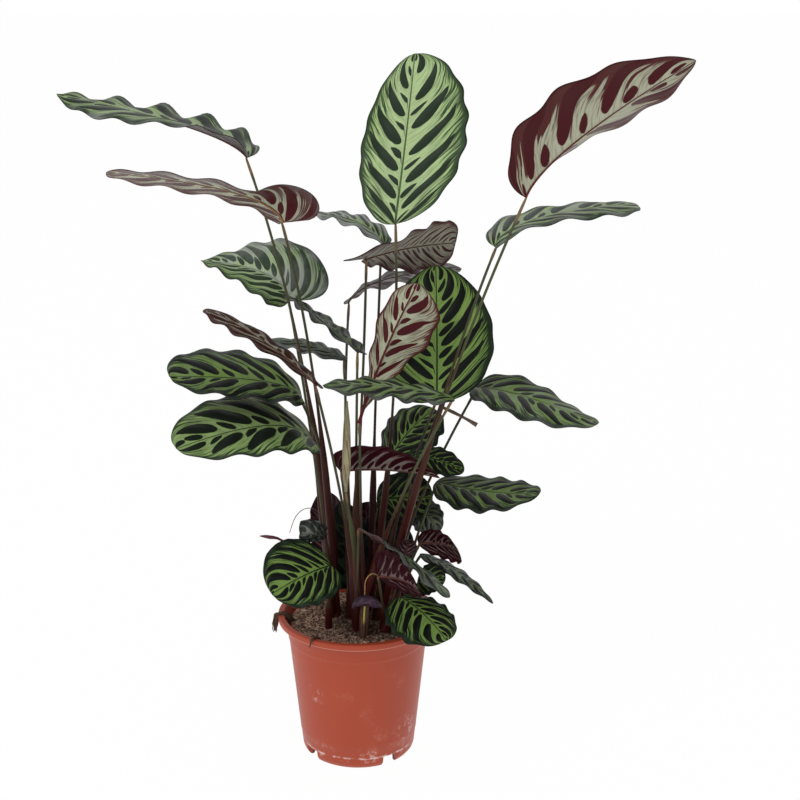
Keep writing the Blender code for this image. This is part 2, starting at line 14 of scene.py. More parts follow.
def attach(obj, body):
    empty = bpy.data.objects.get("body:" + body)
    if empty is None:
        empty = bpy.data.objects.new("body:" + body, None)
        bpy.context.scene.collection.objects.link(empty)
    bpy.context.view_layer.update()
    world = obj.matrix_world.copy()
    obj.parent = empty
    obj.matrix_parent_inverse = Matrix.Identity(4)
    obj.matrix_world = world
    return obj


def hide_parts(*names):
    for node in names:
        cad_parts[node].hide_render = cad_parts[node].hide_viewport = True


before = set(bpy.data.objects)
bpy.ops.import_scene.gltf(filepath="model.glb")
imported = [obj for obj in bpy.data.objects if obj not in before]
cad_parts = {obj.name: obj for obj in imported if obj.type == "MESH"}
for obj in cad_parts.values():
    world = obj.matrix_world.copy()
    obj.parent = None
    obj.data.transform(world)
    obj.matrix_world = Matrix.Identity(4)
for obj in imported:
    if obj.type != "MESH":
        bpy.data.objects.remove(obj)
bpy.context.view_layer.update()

# Studio: a white sweep lit evenly from all around, with one broad soft light from the upper left.
# The floor is painted white and lit so evenly that the pot casts almost no shadow on it.

CAMERA_PLACE = (0.045, -1.9, 1.038)
CAMERA_PITCH = math.radians(71.28)
CAMERA_LENS = 88.07
CAMERA_NEAR = 0.05
FLOOR_SIZE = 12
FLOOR_DROP = 0.0002
SOFTBOX_PLACE = (-1.6, -2.2, 2.6)
SOFTBOX_AIM = (0, 0, 0.4)
SOFTBOX_SIZE = 2.2
SOFTBOX_POWER = 46
ROOM_LIGHT = 0.62
FLOOR_GLOW = 0.98
WHITE = (1, 1, 1, 1)


class Wire:
    """A value in a shader. Python's operators on it add the Math nodes."""

    def __init__(self, finish, socket):
        self.finish = finish
        self.socket = socket

    def __add__(self, other):
        return self.finish.math("ADD", self, other)

    def __sub__(self, other):
        return self.finish.math("SUBTRACT", self, other)

    def __rsub__(self, other):
        return self.finish.math("SUBTRACT", other, self)

    def __mul__(self, other):
        return self.finish.math("MULTIPLY", self, other)

    def __truediv__(self, other):
        return self.finish.math("DIVIDE", self, other)

    def __pow__(self, other):
        return self.finish.math("POWER", self, other)

    def __abs__(self):
        return self.finish.math("ABSOLUTE", self)

    __radd__ = __add__
    __rmul__ = __mul__

    def part(self, axis):
        return self.finish.node("ShaderNodeSeparateXYZ", {}, {"Vector": self}, axis)

    def step(self, low, high):
        """0 below low, 1 above high, smooth between them."""
        inputs = {"Value": self, "From Min": low, "From Max": high}
        return self.finish.node("ShaderNodeMapRange", {"interpolation_type": "SMOOTHSTEP"}, inputs)

    def mix(self, first, second):
        """Two colours, each a wire or a colour on screen, mixed by this value, 0 to 1."""
        inputs = {"Factor": self, 6: paint(first), 7: paint(second)}
        return self.finish.node("ShaderNodeMix", {"data_type": "RGBA"}, inputs, 2)


class Finish:
    """One material: a Principled shader, and the nodes that feed it."""

    def __init__(self, name, roughness, sheen=0.5):
        self.material = bpy.data.materials.new(name)
        self.material.use_nodes = True
        self.tree = self.material.node_tree
        self.shader = self.tree.nodes["Principled BSDF"]
        self.shader.inputs["Roughness"].default_value = roughness
        self.shader.inputs["Specular IOR Level"].default_value = sheen

    def node(self, kind, settings, inputs, out=0):
        made = self.tree.nodes.new(kind)
        for name, value in settings.items():
            setattr(made, name, value)
        for name, value in inputs.items():
            if isinstance(value, Wire):
                self.tree.links.new(value.socket, made.inputs[name])
            else:
                made.inputs[name].default_value = value
        return Wire(self, made.outputs[out])

    def math(self, operation, *values):
        return self.node("ShaderNodeMath", {"operation": operation}, dict(enumerate(values)))

    def vector(self, x, y, z):
        return self.node("ShaderNodeCombineXYZ", {}, {"X": x, "Y": y, "Z": z})

    def noise(self, place, scale, detail=2, rough=0.5):
        inputs = {"Vector": place, "Scale": scale, "Detail": detail, "Roughness": rough}
        return self.node("ShaderNodeTexNoise", {}, inputs)

    def attribute(self, name):
        return self.node("ShaderNodeAttribute", {"attribute_name": name}, {}, "Vector")

    def place(self):
        return self.node("ShaderNodeTexCoord", {}, {}, "Object")

    def feed(self, socket, wire):
        self.tree.links.new(wire.socket, self.shader.inputs[socket])

    def bump(self, height, depth):
        inputs = {"Height": height, "Distance": depth}
        self.feed("Normal", self.node("ShaderNodeBump", {}, inputs))


def paint(colour):
    """A colour as it looks on screen, 0 to 255, made linear. A wire stays as it is."""
    if isinstance(colour, Wire):
        return colour
    return (*(((c / 255 + 0.055) / 1.055) ** 2.4 if c > 10 else c / 3295 for c in colour), 1)


def deselect():
    bpy.ops.object.select_all(action="DESELECT")


def pick_out(made):
    """Select one object and nothing else."""
    deselect()
    made.select_set(True)
    bpy.context.view_layer.objects.active = made


def edit(made):
    """Open one object in edit mode with all of it selected."""
    pick_out(made)
    bpy.ops.object.mode_set(mode="EDIT")
    bpy.ops.mesh.select_all(action="SELECT")


def leave_edit():
    bpy.ops.object.mode_set(mode="OBJECT")


def apply_modifiers(made):
    pick_out(made)
    for modifier in list(made.modifiers):
        bpy.ops.object.modifier_apply(modifier=modifier.name)


def settle(made, name, finish, slot, *nodes):
    """Name a finished piece, paint it, put its place into its mesh, and hang it on the plant."""
    made.name = name
    made.data.name = name
    if finish:
        made.data.materials.clear()
        made.data.materials.append(finish.material)
    made.data.transform(made.matrix_world)
    made.matrix_world = Matrix.Identity(4)
    made.data.shade_smooth()
    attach(made, "root")
    if nodes:
        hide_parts(*nodes)


scene = bpy.context.scene
scene.view_settings.view_transform = "Standard"

optics = bpy.data.cameras.new("camera")
optics.lens = CAMERA_LENS
optics.clip_start = CAMERA_NEAR
camera = bpy.data.objects.new("camera", optics)
camera.location = CAMERA_PLACE
camera.rotation_euler = (CAMERA_PITCH, 0, 0)
scene.collection.objects.link(camera)
scene.camera = camera

room = bpy.data.worlds.new("studio")
room.use_nodes = True
scene.world = room
nodes, links = room.node_tree.nodes, room.node_tree.links
glow = nodes["Background"]
glow.inputs["Color"].default_value = WHITE
glow.inputs["Strength"].default_value = ROOM_LIGHT
seen = nodes.new("ShaderNodeBackground")
seen.inputs["Color"].default_value = WHITE
ray = nodes.new("ShaderNodeLightPath")
choice = nodes.new("ShaderNodeMixShader")
links.new(ray.outputs["Is Camera Ray"], choice.inputs["Fac"])
links.new(glow.outputs[0], choice.inputs[1])
links.new(seen.outputs[0], choice.inputs[2])
links.new(choice.outputs[0], nodes["World Output"].inputs["Surface"])

softbox = bpy.data.lights.new("softbox", "AREA")
softbox.size = SOFTBOX_SIZE
softbox.energy = SOFTBOX_POWER
lamp = bpy.data.objects.new("softbox", softbox)
lamp.location = SOFTBOX_PLACE
lamp.rotation_euler = (Vector(SOFTBOX_AIM) - lamp.location).to_track_quat("-Z", "Y").to_euler()
scene.collection.objects.link(lamp)

deselect()
bpy.ops.mesh.primitive_plane_add(size=FLOOR_SIZE, location=(0, 0, -FLOOR_DROP))
floor = bpy.context.active_object
floor.name = "floor"
floor_paint = Finish("floor_paint", 1, 0)
floor_paint.shader.inputs["Base Color"].default_value = paint((40, 40, 40))
floor_paint.shader.inputs["Emission Color"].default_value = WHITE
floor_paint.shader.inputs["Emission Strength"].default_value = FLOOR_GLOW
floor.data.materials.append(floor_paint.material)

# Pot: a nursery pot moulded in thin terracotta-red plastic. A rolled rim stiffens its mouth, a faint
# step runs round under the rim, and four low feet are left between notches that let water out.

FLOOR_LEVEL = 0.014
POT_SIDES = 128
SHARP_ANGLE = math.radians(38)
NOTCH_WIDTH = 0.018
NOTCH_HEIGHT = 0.0125
NOTCH_DEPTH = 0.014
NOTCH_ROUND = 0.0012
NOTCH_CIRCLE = 0.0562
NOTCH_FIRST_ANGLE = math.radians(-144.5)
DRAIN_RADIUS = 0.0045
DRAIN_DEPTH = 0.02
DRAIN_CIRCLE = 0.04
LIME_LEVEL = 0.0135
WORN_PATCHES = ((0.052, -0.037, 0.036, 0.026), (-0.043, -0.053, 0.086, 0.014))
POT_PROFILE = (
    (0.003, 0.014), (0.05, 0.014), (0.0508, 0.0136), (0.0518, 0.001), (0.0524, 0.0002),
    (0.0552, 0.0002), (0.0566, 0.0012), (0.059, 0.0042), (0.0598, 0.0064), (0.0602, 0.009),
    (0.0618, 0.024), (0.0622, 0.0246), (0.0627, 0.03), (0.073, 0.129), (0.0732, 0.1306),
    (0.0739, 0.1314), (0.0741, 0.133), (0.075, 0.1484), (0.0758, 0.1494), (0.0834, 0.1502),
    (0.0842, 0.1508), (0.0845, 0.152), (0.0845, 0.1552), (0.0842, 0.1564), (0.0834, 0.157),
    (0.0786, 0.1569), (0.0779, 0.1563), (0.0768, 0.1535), (0.0735, 0.146), (0.0585, 0.018),
    (0.0572, 0.0158), (0.003, 0.0156),
)


def turned(profile, sides):
    """A round wall, drawn up from a circle ring by ring through (radius, height) steps."""
    deselect()
    radius, height = profile[0]
    bpy.ops.mesh.primitive_circle_add(vertices=sides, radius=radius, location=(0, 0, height))
    made = bpy.context.active_object
    edit(made)
    for (before, low), (after, high) in zip(profile, profile[1:]):
        bpy.ops.mesh.extrude_edges_move(TRANSFORM_OT_translate={"value": (0, 0, high - low)})
        scale = after / before
        bpy.ops.transform.resize(value=(scale, scale, 1), center_override=(0, 0, high))
    leave_edit()
    return made


def close_ends(made):
    """Put a face across each open end of a turned wall."""
    edit(made)
    bpy.ops.mesh.select_all(action="DESELECT")
    bpy.ops.mesh.select_mode(type="EDGE")
    bpy.ops.mesh.select_non_manifold()
    bpy.ops.mesh.edge_face_add()
    bpy.ops.mesh.select_all(action="SELECT")
    bpy.ops.mesh.normals_make_consistent(inside=False)
    leave_edit()


def cut(made, tools):
    """Cut the tools out of a piece, then throw them away."""
    for tool in tools:
        knife = made.modifiers.new("cut", "BOOLEAN")
        knife.object = tool
        knife.solver = "EXACT"
    apply_modifiers(made)
    for tool in tools:
        bpy.data.objects.remove(tool)


def distance(*shifts):
    """How far off a point is, from its shift along each axis."""
    return sum(shift ** 2 for shift in shifts) ** 0.5


pot = turned(POT_PROFILE, POT_SIDES)
close_ends(pot)
tools = []
for i in range(4):
    angle = NOTCH_FIRST_ANGLE + math.tau * i / 4
    outward = Vector((math.cos(angle), math.sin(angle), 0))
    deselect()
    bpy.ops.mesh.primitive_cube_add(size=1, location=outward * NOTCH_CIRCLE, rotation=(0, 0, angle))
    notch = bpy.context.active_object
    notch.scale = (NOTCH_DEPTH, NOTCH_WIDTH, 2 * NOTCH_HEIGHT)
    edge = notch.modifiers.new("round", "BEVEL")
    edge.width = NOTCH_ROUND
    edge.segments = 3
    apply_modifiers(notch)
    deselect()
    bpy.ops.mesh.primitive_cylinder_add(
        vertices=24, radius=DRAIN_RADIUS, depth=DRAIN_DEPTH,
        location=outward * DRAIN_CIRCLE + Vector((0, 0, FLOOR_LEVEL)),
    )
    tools += [notch, bpy.context.active_object]
cut(pot, tools)

pot_plastic = Finish("pot_plastic", 0.42, 0.3)
spot = pot_plastic.place()
height = spot.part("Z")
cloud = pot_plastic.noise(spot, 22, 4, 0.6)
speck = pot_plastic.noise(spot, 420, 3, 0.7)
red = cloud.mix((160, 62, 36), (170, 71, 46))
bloom = (cloud + 0.3 * speck).step(0.72, 0.95) * 0.22
red = bloom.mix(red, (214, 160, 146))
scuff_band = height.step(0.006, 0.011) * (1 - height.step(0.013, 0.03))
streak = pot_plastic.noise(spot, 95, 5, 0.75)
scuff = streak.step(0.56, 0.66) * scuff_band
red = (scuff * 0.55).mix(red, (226, 196, 186))
ring = distance(spot.part("X"), spot.part("Y"))
# Painted shade: under the pot, inside the feet and below its floor, the plastic is painted near black.
painted_shade_under_foot = (1 - ring.step(0.0532, 0.0545)) * (1 - height.step(0.0142, 0.015))
red = painted_shade_under_foot.mix(red, (26, 14, 12))


def worn(x, y, z, size):
    """A worn patch of the pot around one place."""
    return 1 - distance(spot.part("X") - x, spot.part("Y") - y, height - z).step(0.2 * size, size)


lime_line = 1 - abs(height - LIME_LEVEL + 0.005 * (cloud - 0.5)).step(0.0005, 0.0015)
lime = lime_line * streak.step(0.44, 0.56) * (1 - spot.part("Y").step(-0.035, -0.02))
rubbed = pot_plastic.math("MAXIMUM", *(worn(*patch) for patch in WORN_PATCHES))
lime = pot_plastic.math("MAXIMUM", lime, rubbed * streak.step(0.5, 0.62) * 0.6)
red = (lime * 0.75).mix(red, (224, 198, 192))
# Painted highlight: a pale line along the lower outer edge of the rolled rim.
painted_lip_highlight = ring.step(0.0826, 0.0838) * (1 - height.step(0.1508, 0.1516))
red = (painted_lip_highlight * 0.55).mix(red, (228, 176, 158))
pot_plastic.feed("Base Color", red)
pot_plastic.feed("Roughness", 0.36 + 0.16 * cloud + 0.2 * scuff)
pot_plastic.bump(speck, 0.00012)
settle(pot, "nursery_pot", pot_plastic, "pot", "pot")
pot.data.set_sharp_from_angle(angle=SHARP_ANGLE)

# Peat: brown and fibrous, almost up to the rim. It is one solid with a rough top, strewn with crumbs
# and with short tan fibres that lie every way. The shoots stand in it.

SOIL_LEVEL = 0.147
SOIL_CROWN = 0.004
SOIL_EDGE = 0.0718
SOIL_BASE = 0.0162
SOIL_BASE_RADIUS = 0.056
SOIL_STEPS = 26
CRUMBS = 420
FIBRES = 2400
FIBRE_EDGE = 0.0712
PEAT_LUMPS = 0.0026
CRUMB_SMALLEST = 0.0006
CRUMB_SPREAD = 0.0022
FIBRE_LENGTHS = (0.002, 0.007)
FIBRE_RADII = (0.0002, 0.00045)
# Painted shade on the peat: its middle, the radius of its darkest part, and where it fades out
SHADE_PLACE = (0.022, -0.01)
SHADE_CORE = 0.03
SHADE_EDGE = 0.058

# Two bunches of roots and fibres that hang over the rim: their way, how wide they spread, and how many
TUFTS = (
    (((-0.068, -0.004, 0.148), (-0.078, -0.007, 0.158), (-0.0865, -0.009, 0.154), (-0.0875, -0.01, 0.137)),
     0.002, 30),
    (((-0.037, -0.056, 0.149), (-0.042, -0.066, 0.158), (-0.046, -0.0735, 0.1575), (-0.047, -0.076, 0.151)),
     0.0012, 14),
)


def soil_height(x, y):
    share = math.hypot(x, y) / SOIL_EDGE
    return SOIL_LEVEL + SOIL_CROWN * (1 - share * share)


def peat_top(x, y):
    """The rough surface, a little below the level that crumbs and fibres reach."""
    place = Vector((x, y, 0))
    lumps = noise.fractal(place * 90, 0.9, 2.1, 5)
    share = min(1, math.hypot(x, y) / SOIL_EDGE)
    return soil_height(x, y) + PEAT_LUMPS * lumps * (1 - share ** 8)


def joined(pieces):
    """One object from many."""
    deselect()
    for piece in pieces:
        piece.select_set(True)
    bpy.context.view_layer.objects.active = pieces[0]
    bpy.ops.object.join()
    return pieces[0]


soil_rings = [(0.002, SOIL_BASE), (SOIL_BASE_RADIUS, SOIL_BASE)]
soil_rings += [(SOIL_EDGE * (1 - i / SOIL_STEPS) ** 0.9, SOIL_LEVEL) for i in range(SOIL_STEPS)]
soil_rings[-1] = (0.0006, SOIL_LEVEL)
soil = turned(soil_rings, POT_SIDES)
close_ends(soil)
for vertex in soil.data.vertices:
    place = soil.matrix_world @ vertex.co
    if place.z > SOIL_LEVEL - 0.001:
        vertex.co.z += peat_top(place.x, place.y) - SOIL_LEVEL

peat = Finish("peat", 0.95, 0.2)
spot = peat.place()
grain = peat.noise(spot, 260, 6, 0.75)
damp = peat.noise(spot, 28, 3)
brown = grain.step(0.3, 0.68).mix((22, 14, 11), (178, 142, 120))
brown = (damp.step(0.42, 0.62) * 0.4).mix(brown, (44, 30, 25))


def painted_leaf_shade(spot):
    """Painted shade: the peat is darker among the shoots and under the leaves on the right."""
    off = distance(spot.part("X") - SHADE_PLACE[0], spot.part("Y") - SHADE_PLACE[1])
    return (1 - off.step(SHADE_CORE, SHADE_EDGE)) * 0.6


# Painted shade on the peat among the shoots and under the leaves on the right
brown = painted_leaf_shade(spot).mix(brown, (20, 13, 11))
peat.feed("Base Color", brown)
peat.bump(grain, 0.0016)
settle(soil, "peat_surface", peat, "soil", "soil")

strew = random.Random(7)


def strewn():
    """A random place on the peat."""
    turn = strew.uniform(0, math.tau)
    far = SOIL_EDGE * 0.98 * strew.random() ** 0.5
    return far * math.cos(turn), far * math.sin(turn)


def copy_of(made):
    """A copy with its own mesh."""
    copy = bpy.data.objects.new("copy", made.data.copy())
    scene.collection.objects.link(copy)
    return copy


deselect()
bpy.ops.mesh.primitive_ico_sphere_add(subdivisions=1, radius=1)
crumb = bpy.context.active_object
crumbs = []
for i in range(CRUMBS):
    x, y = strewn()
    size = CRUMB_SMALLEST + CRUMB_SPREAD * strew.random() ** 2
    copy = copy_of(crumb)
    for vertex in copy.data.vertices:
        vertex.co *= strew.uniform(0.7, 1.25)
    squash = Matrix.Diagonal((size * 1.4, size, size * 0.7, 1))
    turn = Matrix.Rotation(strew.uniform(0, math.tau), 4, "Z")
    turn = turn @ Matrix.Rotation(strew.uniform(-0.6, 0.6), 4, "X")
    copy.data.transform(Matrix.Translation((x, y, peat_top(x, y) + size * 0.2)) @ turn @ squash)
    crumbs.append(copy)
bpy.data.objects.remove(crumb)
crumb_peat = Finish("crumb_peat", 0.95, 0.2)
spot = crumb_peat.place()
shade = crumb_peat.noise(spot, 70)
umber = shade.step(0.35, 0.65).mix((66, 47, 38), (196, 162, 138))
# The same painted shade on the crumbs
crumb_peat.feed("Base Color", painted_leaf_shade(spot).mix(umber, (30, 20, 16)))
settle(joined(crumbs), "peat_crumbs", crumb_peat, "soil")


def sheet(rows, columns):
    """A flat grid to be bent into shape, and where each of its points lies, 0 to 1 along and across."""
    deselect()
    bpy.ops.mesh.primitive_grid_add(x_subdivisions=columns, y_subdivisions=rows, size=1)
    made = bpy.context.active_object
    return made, [(vertex.co.y + 0.5, vertex.co.x + 0.5) for vertex in made.data.vertices]


def follow(made, path, radius):
    """Lay a rod along path, a function of 0 to 1, as thick as radius says there."""
    frames = {}
    for vertex, value in zip(made.data.vertices, made.data.attributes["stem"].data):
        t, turn, _ = value.vector
        if t not in frames:
            along = (path(t + 0.002) - path(t - 0.002)).normalized()
            right = along.cross(Vector((0.05, 1, 0.02))).normalized()
            thick = radius(t) if 1e-6 < t < 1 - 1e-6 else 0
            frames[t] = (path(t), right * thick, right.cross(along) * thick)
        here, right, front = frames[t]
        angle = -math.tau * turn
        vertex.co = here + right * math.cos(angle) + front * math.sin(angle)


def shade_rod(made, shade):
    """Give a rod one shade of its own, which its finish reads."""
    for value in made.data.attributes["stem"].data:
        value.vector.z = shade


def rod(path, radius, rings, sides):
    """A closed round rod: a grid rolled up along path, its rings closest together at the two ends."""
    made, places = sheet(rings, sides)
    stem = made.data.attributes.new("stem", "FLOAT_VECTOR", "POINT")
    for value, (even, turn) in zip(stem.data, places):
        value.vector = (even - 0.9 * math.sin(math.tau * even) / math.tau, turn, 0)
    follow(made, path, radius)
    edit(made)
    bpy.ops.mesh.remove_doubles(threshold=1e-6)
    bpy.ops.mesh.normals_make_consistent(inside=False)
    leave_edit()
    return made


def along_points(points, t):
    """A smooth way through a few points, t from 0 to 1."""
    t = max(0, min(1, t))
    count = len(points) - 1
    i = min(count - 1, int(t * count))
    f = t * count - i
    a, b = Vector(points[max(i - 1, 0)]), Vector(points[i])
    c, d = Vector(points[i + 1]), Vector(points[min(i + 2, count)])
    bow, swing = 2 * a - 5 * b + 4 * c - d, 3 * b - a - 3 * c + d
    return 0.5 * (2 * b + (c - a) * f + bow * f * f + swing * f ** 3)


def crinkled(length, place, turn, bow, tilt):
    """The way of one loose fibre over the peat."""
    ahead = Vector((math.cos(turn), math.sin(turn), 0))
    aside = Vector((-ahead.y, ahead.x, 0))
    kinks, phase = strew.uniform(0.4, 1.1), strew.uniform(0, math.tau)

    def way(t):
        bend = bow * math.sin(math.pi * t) + 0.05 * length * math.sin(math.tau * kinks * t + phase)
        here = place + ahead * (length * (t - 0.5)) + aside * bend
        here *= min(1, FIBRE_EDGE / max(1e-6, here.length))
        lift = 0.0005 + tilt * length * t * t + 0.0005 * math.sin(math.tau * kinks * t)
        return Vector((here.x, here.y, peat_top(here.x, here.y) + lift))

    return way


first_fibre = rod(lambda t: Vector((0, 0, t)), lambda t: 0.1, 5, 4)
fibres = []
for i in range(FIBRES):
    x, y = strewn()
    length = strew.uniform(*FIBRE_LENGTHS)
    way = crinkled(
        length, Vector((x, y, 0)), strew.uniform(0, math.tau), strew.uniform(-0.3, 0.3) * length,
        strew.uniform(-0.1, 0.45) ** 2,
    )
    fibre = copy_of(first_fibre)
    thick = strew.uniform(*FIBRE_RADII)
    follow(fibre, way, lambda t: thick * (0.6 + 0.4 * math.sin(math.pi * t)))
    shade_rod(fibre, strew.random())
    fibres.append(fibre)
for way, spread, count in TUFTS:
    for i in range(count):
        fibre = copy_of(first_fibre)
        shift = Vector([strew.uniform(-spread, spread) for _ in range(3)])
        reach = strew.uniform(0.55, 1)
        kink = Vector([strew.uniform(-spread, spread) for _ in range(3)])
        follow(
            fibre, lambda t: along_points(way, t * reach) + shift + kink * math.sin(math.tau * t * 1.5),
            lambda t: 0.0005 + 0.0004 * math.sin(math.pi * t),
        )
        for value in fibre.data.attributes["stem"].data:
            value.vector.z = strew.random() * 0.12
        fibres.append(fibre)
bpy.data.objects.remove(first_fibre)
fibre_tan = Finish("fibre_tan", 0.85, 0.2)
shade = fibre_tan.attribute("stem").part("Z")
spot = fibre_tan.place()
grain = fibre_tan.noise(spot, 900)
tan = (shade * 1.6).mix((54, 37, 29), (204, 170, 146))
tan = ((shade - 0.5) * 2).mix(tan, (238, 210, 182))
tan = (grain * 0.35).mix(tan, (90, 66, 54))
# The same painted shade on the fibres
fibre_tan.feed("Base Color", painted_leaf_shade(spot).mix(tan, (34, 23, 18)))
settle(joined(fibres), "peat_fibres", fibre_tan, "soil")

# Shoots: thin round petioles, dark red at the foot and tan to olive higher up. Each rises from the peat
# in a sheath that wraps its neighbours, and ends in a short swollen joint under its blade.

PETIOLE_RADIUS = 0.0014
SHEATH_RADIUS = 0.0038
PETIOLE_END_RADIUS = 0.001
PETIOLE_RING = 0.0034
JOINT_PLACE = 0.965
JOINT_REACH = 0.03
JOINT_SWELL = 0.0004
BLADE_THICKNESS = 0.0009
BLADE_GAP = 0.00055
BLADE_START = 0.004
BLADE_END = 0.0006
STEM_SINK = 0.004
STEM_RINGS = 44
STEM_SIDES = 12
SHOOT_FEET = {
    "left": (-0.025, 0.002),
    "middle": (-0.006, 0),
    "back": (0.01, 0.024),
    "right": (0.022, -0.004),
    "front": (0.002, -0.03),
    "low_right": (0.04, 0.018),
    "low_front": (0.03, -0.032),
    "low_left": (-0.03, -0.026),
}

# A blade's usual form. Its arch is how far its midrib bows, and knee is where along it the bow is
# highest, 0 to 1. Lift and curl are degrees, lobe is metres, and frill is the share of the wave, for its
# left and right half, seen from above with the tip ahead.
USUAL_FORM = dict(
    middle=None, arch=0.006, knee=0.5, sway=0, lift=(8, 8), unfold=0, curl=(-25, -25), twist=0, skew=0,
    slant=0, wave=0.003, frill=(1, 1), waves=4.5, phase=0, ruffle=0.02, neck=0.5, point=0.55,
    lobe=(0.001, 0.001), sheath=0.4, rolled=False,
)


def leaf(name, shoot, base, tip, face, width, **form):
    """One leaf: its shoot, the two ends of its blade, the way its upper side faces, and its width."""
    return SimpleNamespace(
        name=name, shoot=shoot, base=Vector(base), tip=Vector(tip), face=Vector(face), width=width,
        **{**USUAL_FORM, **form},
    )


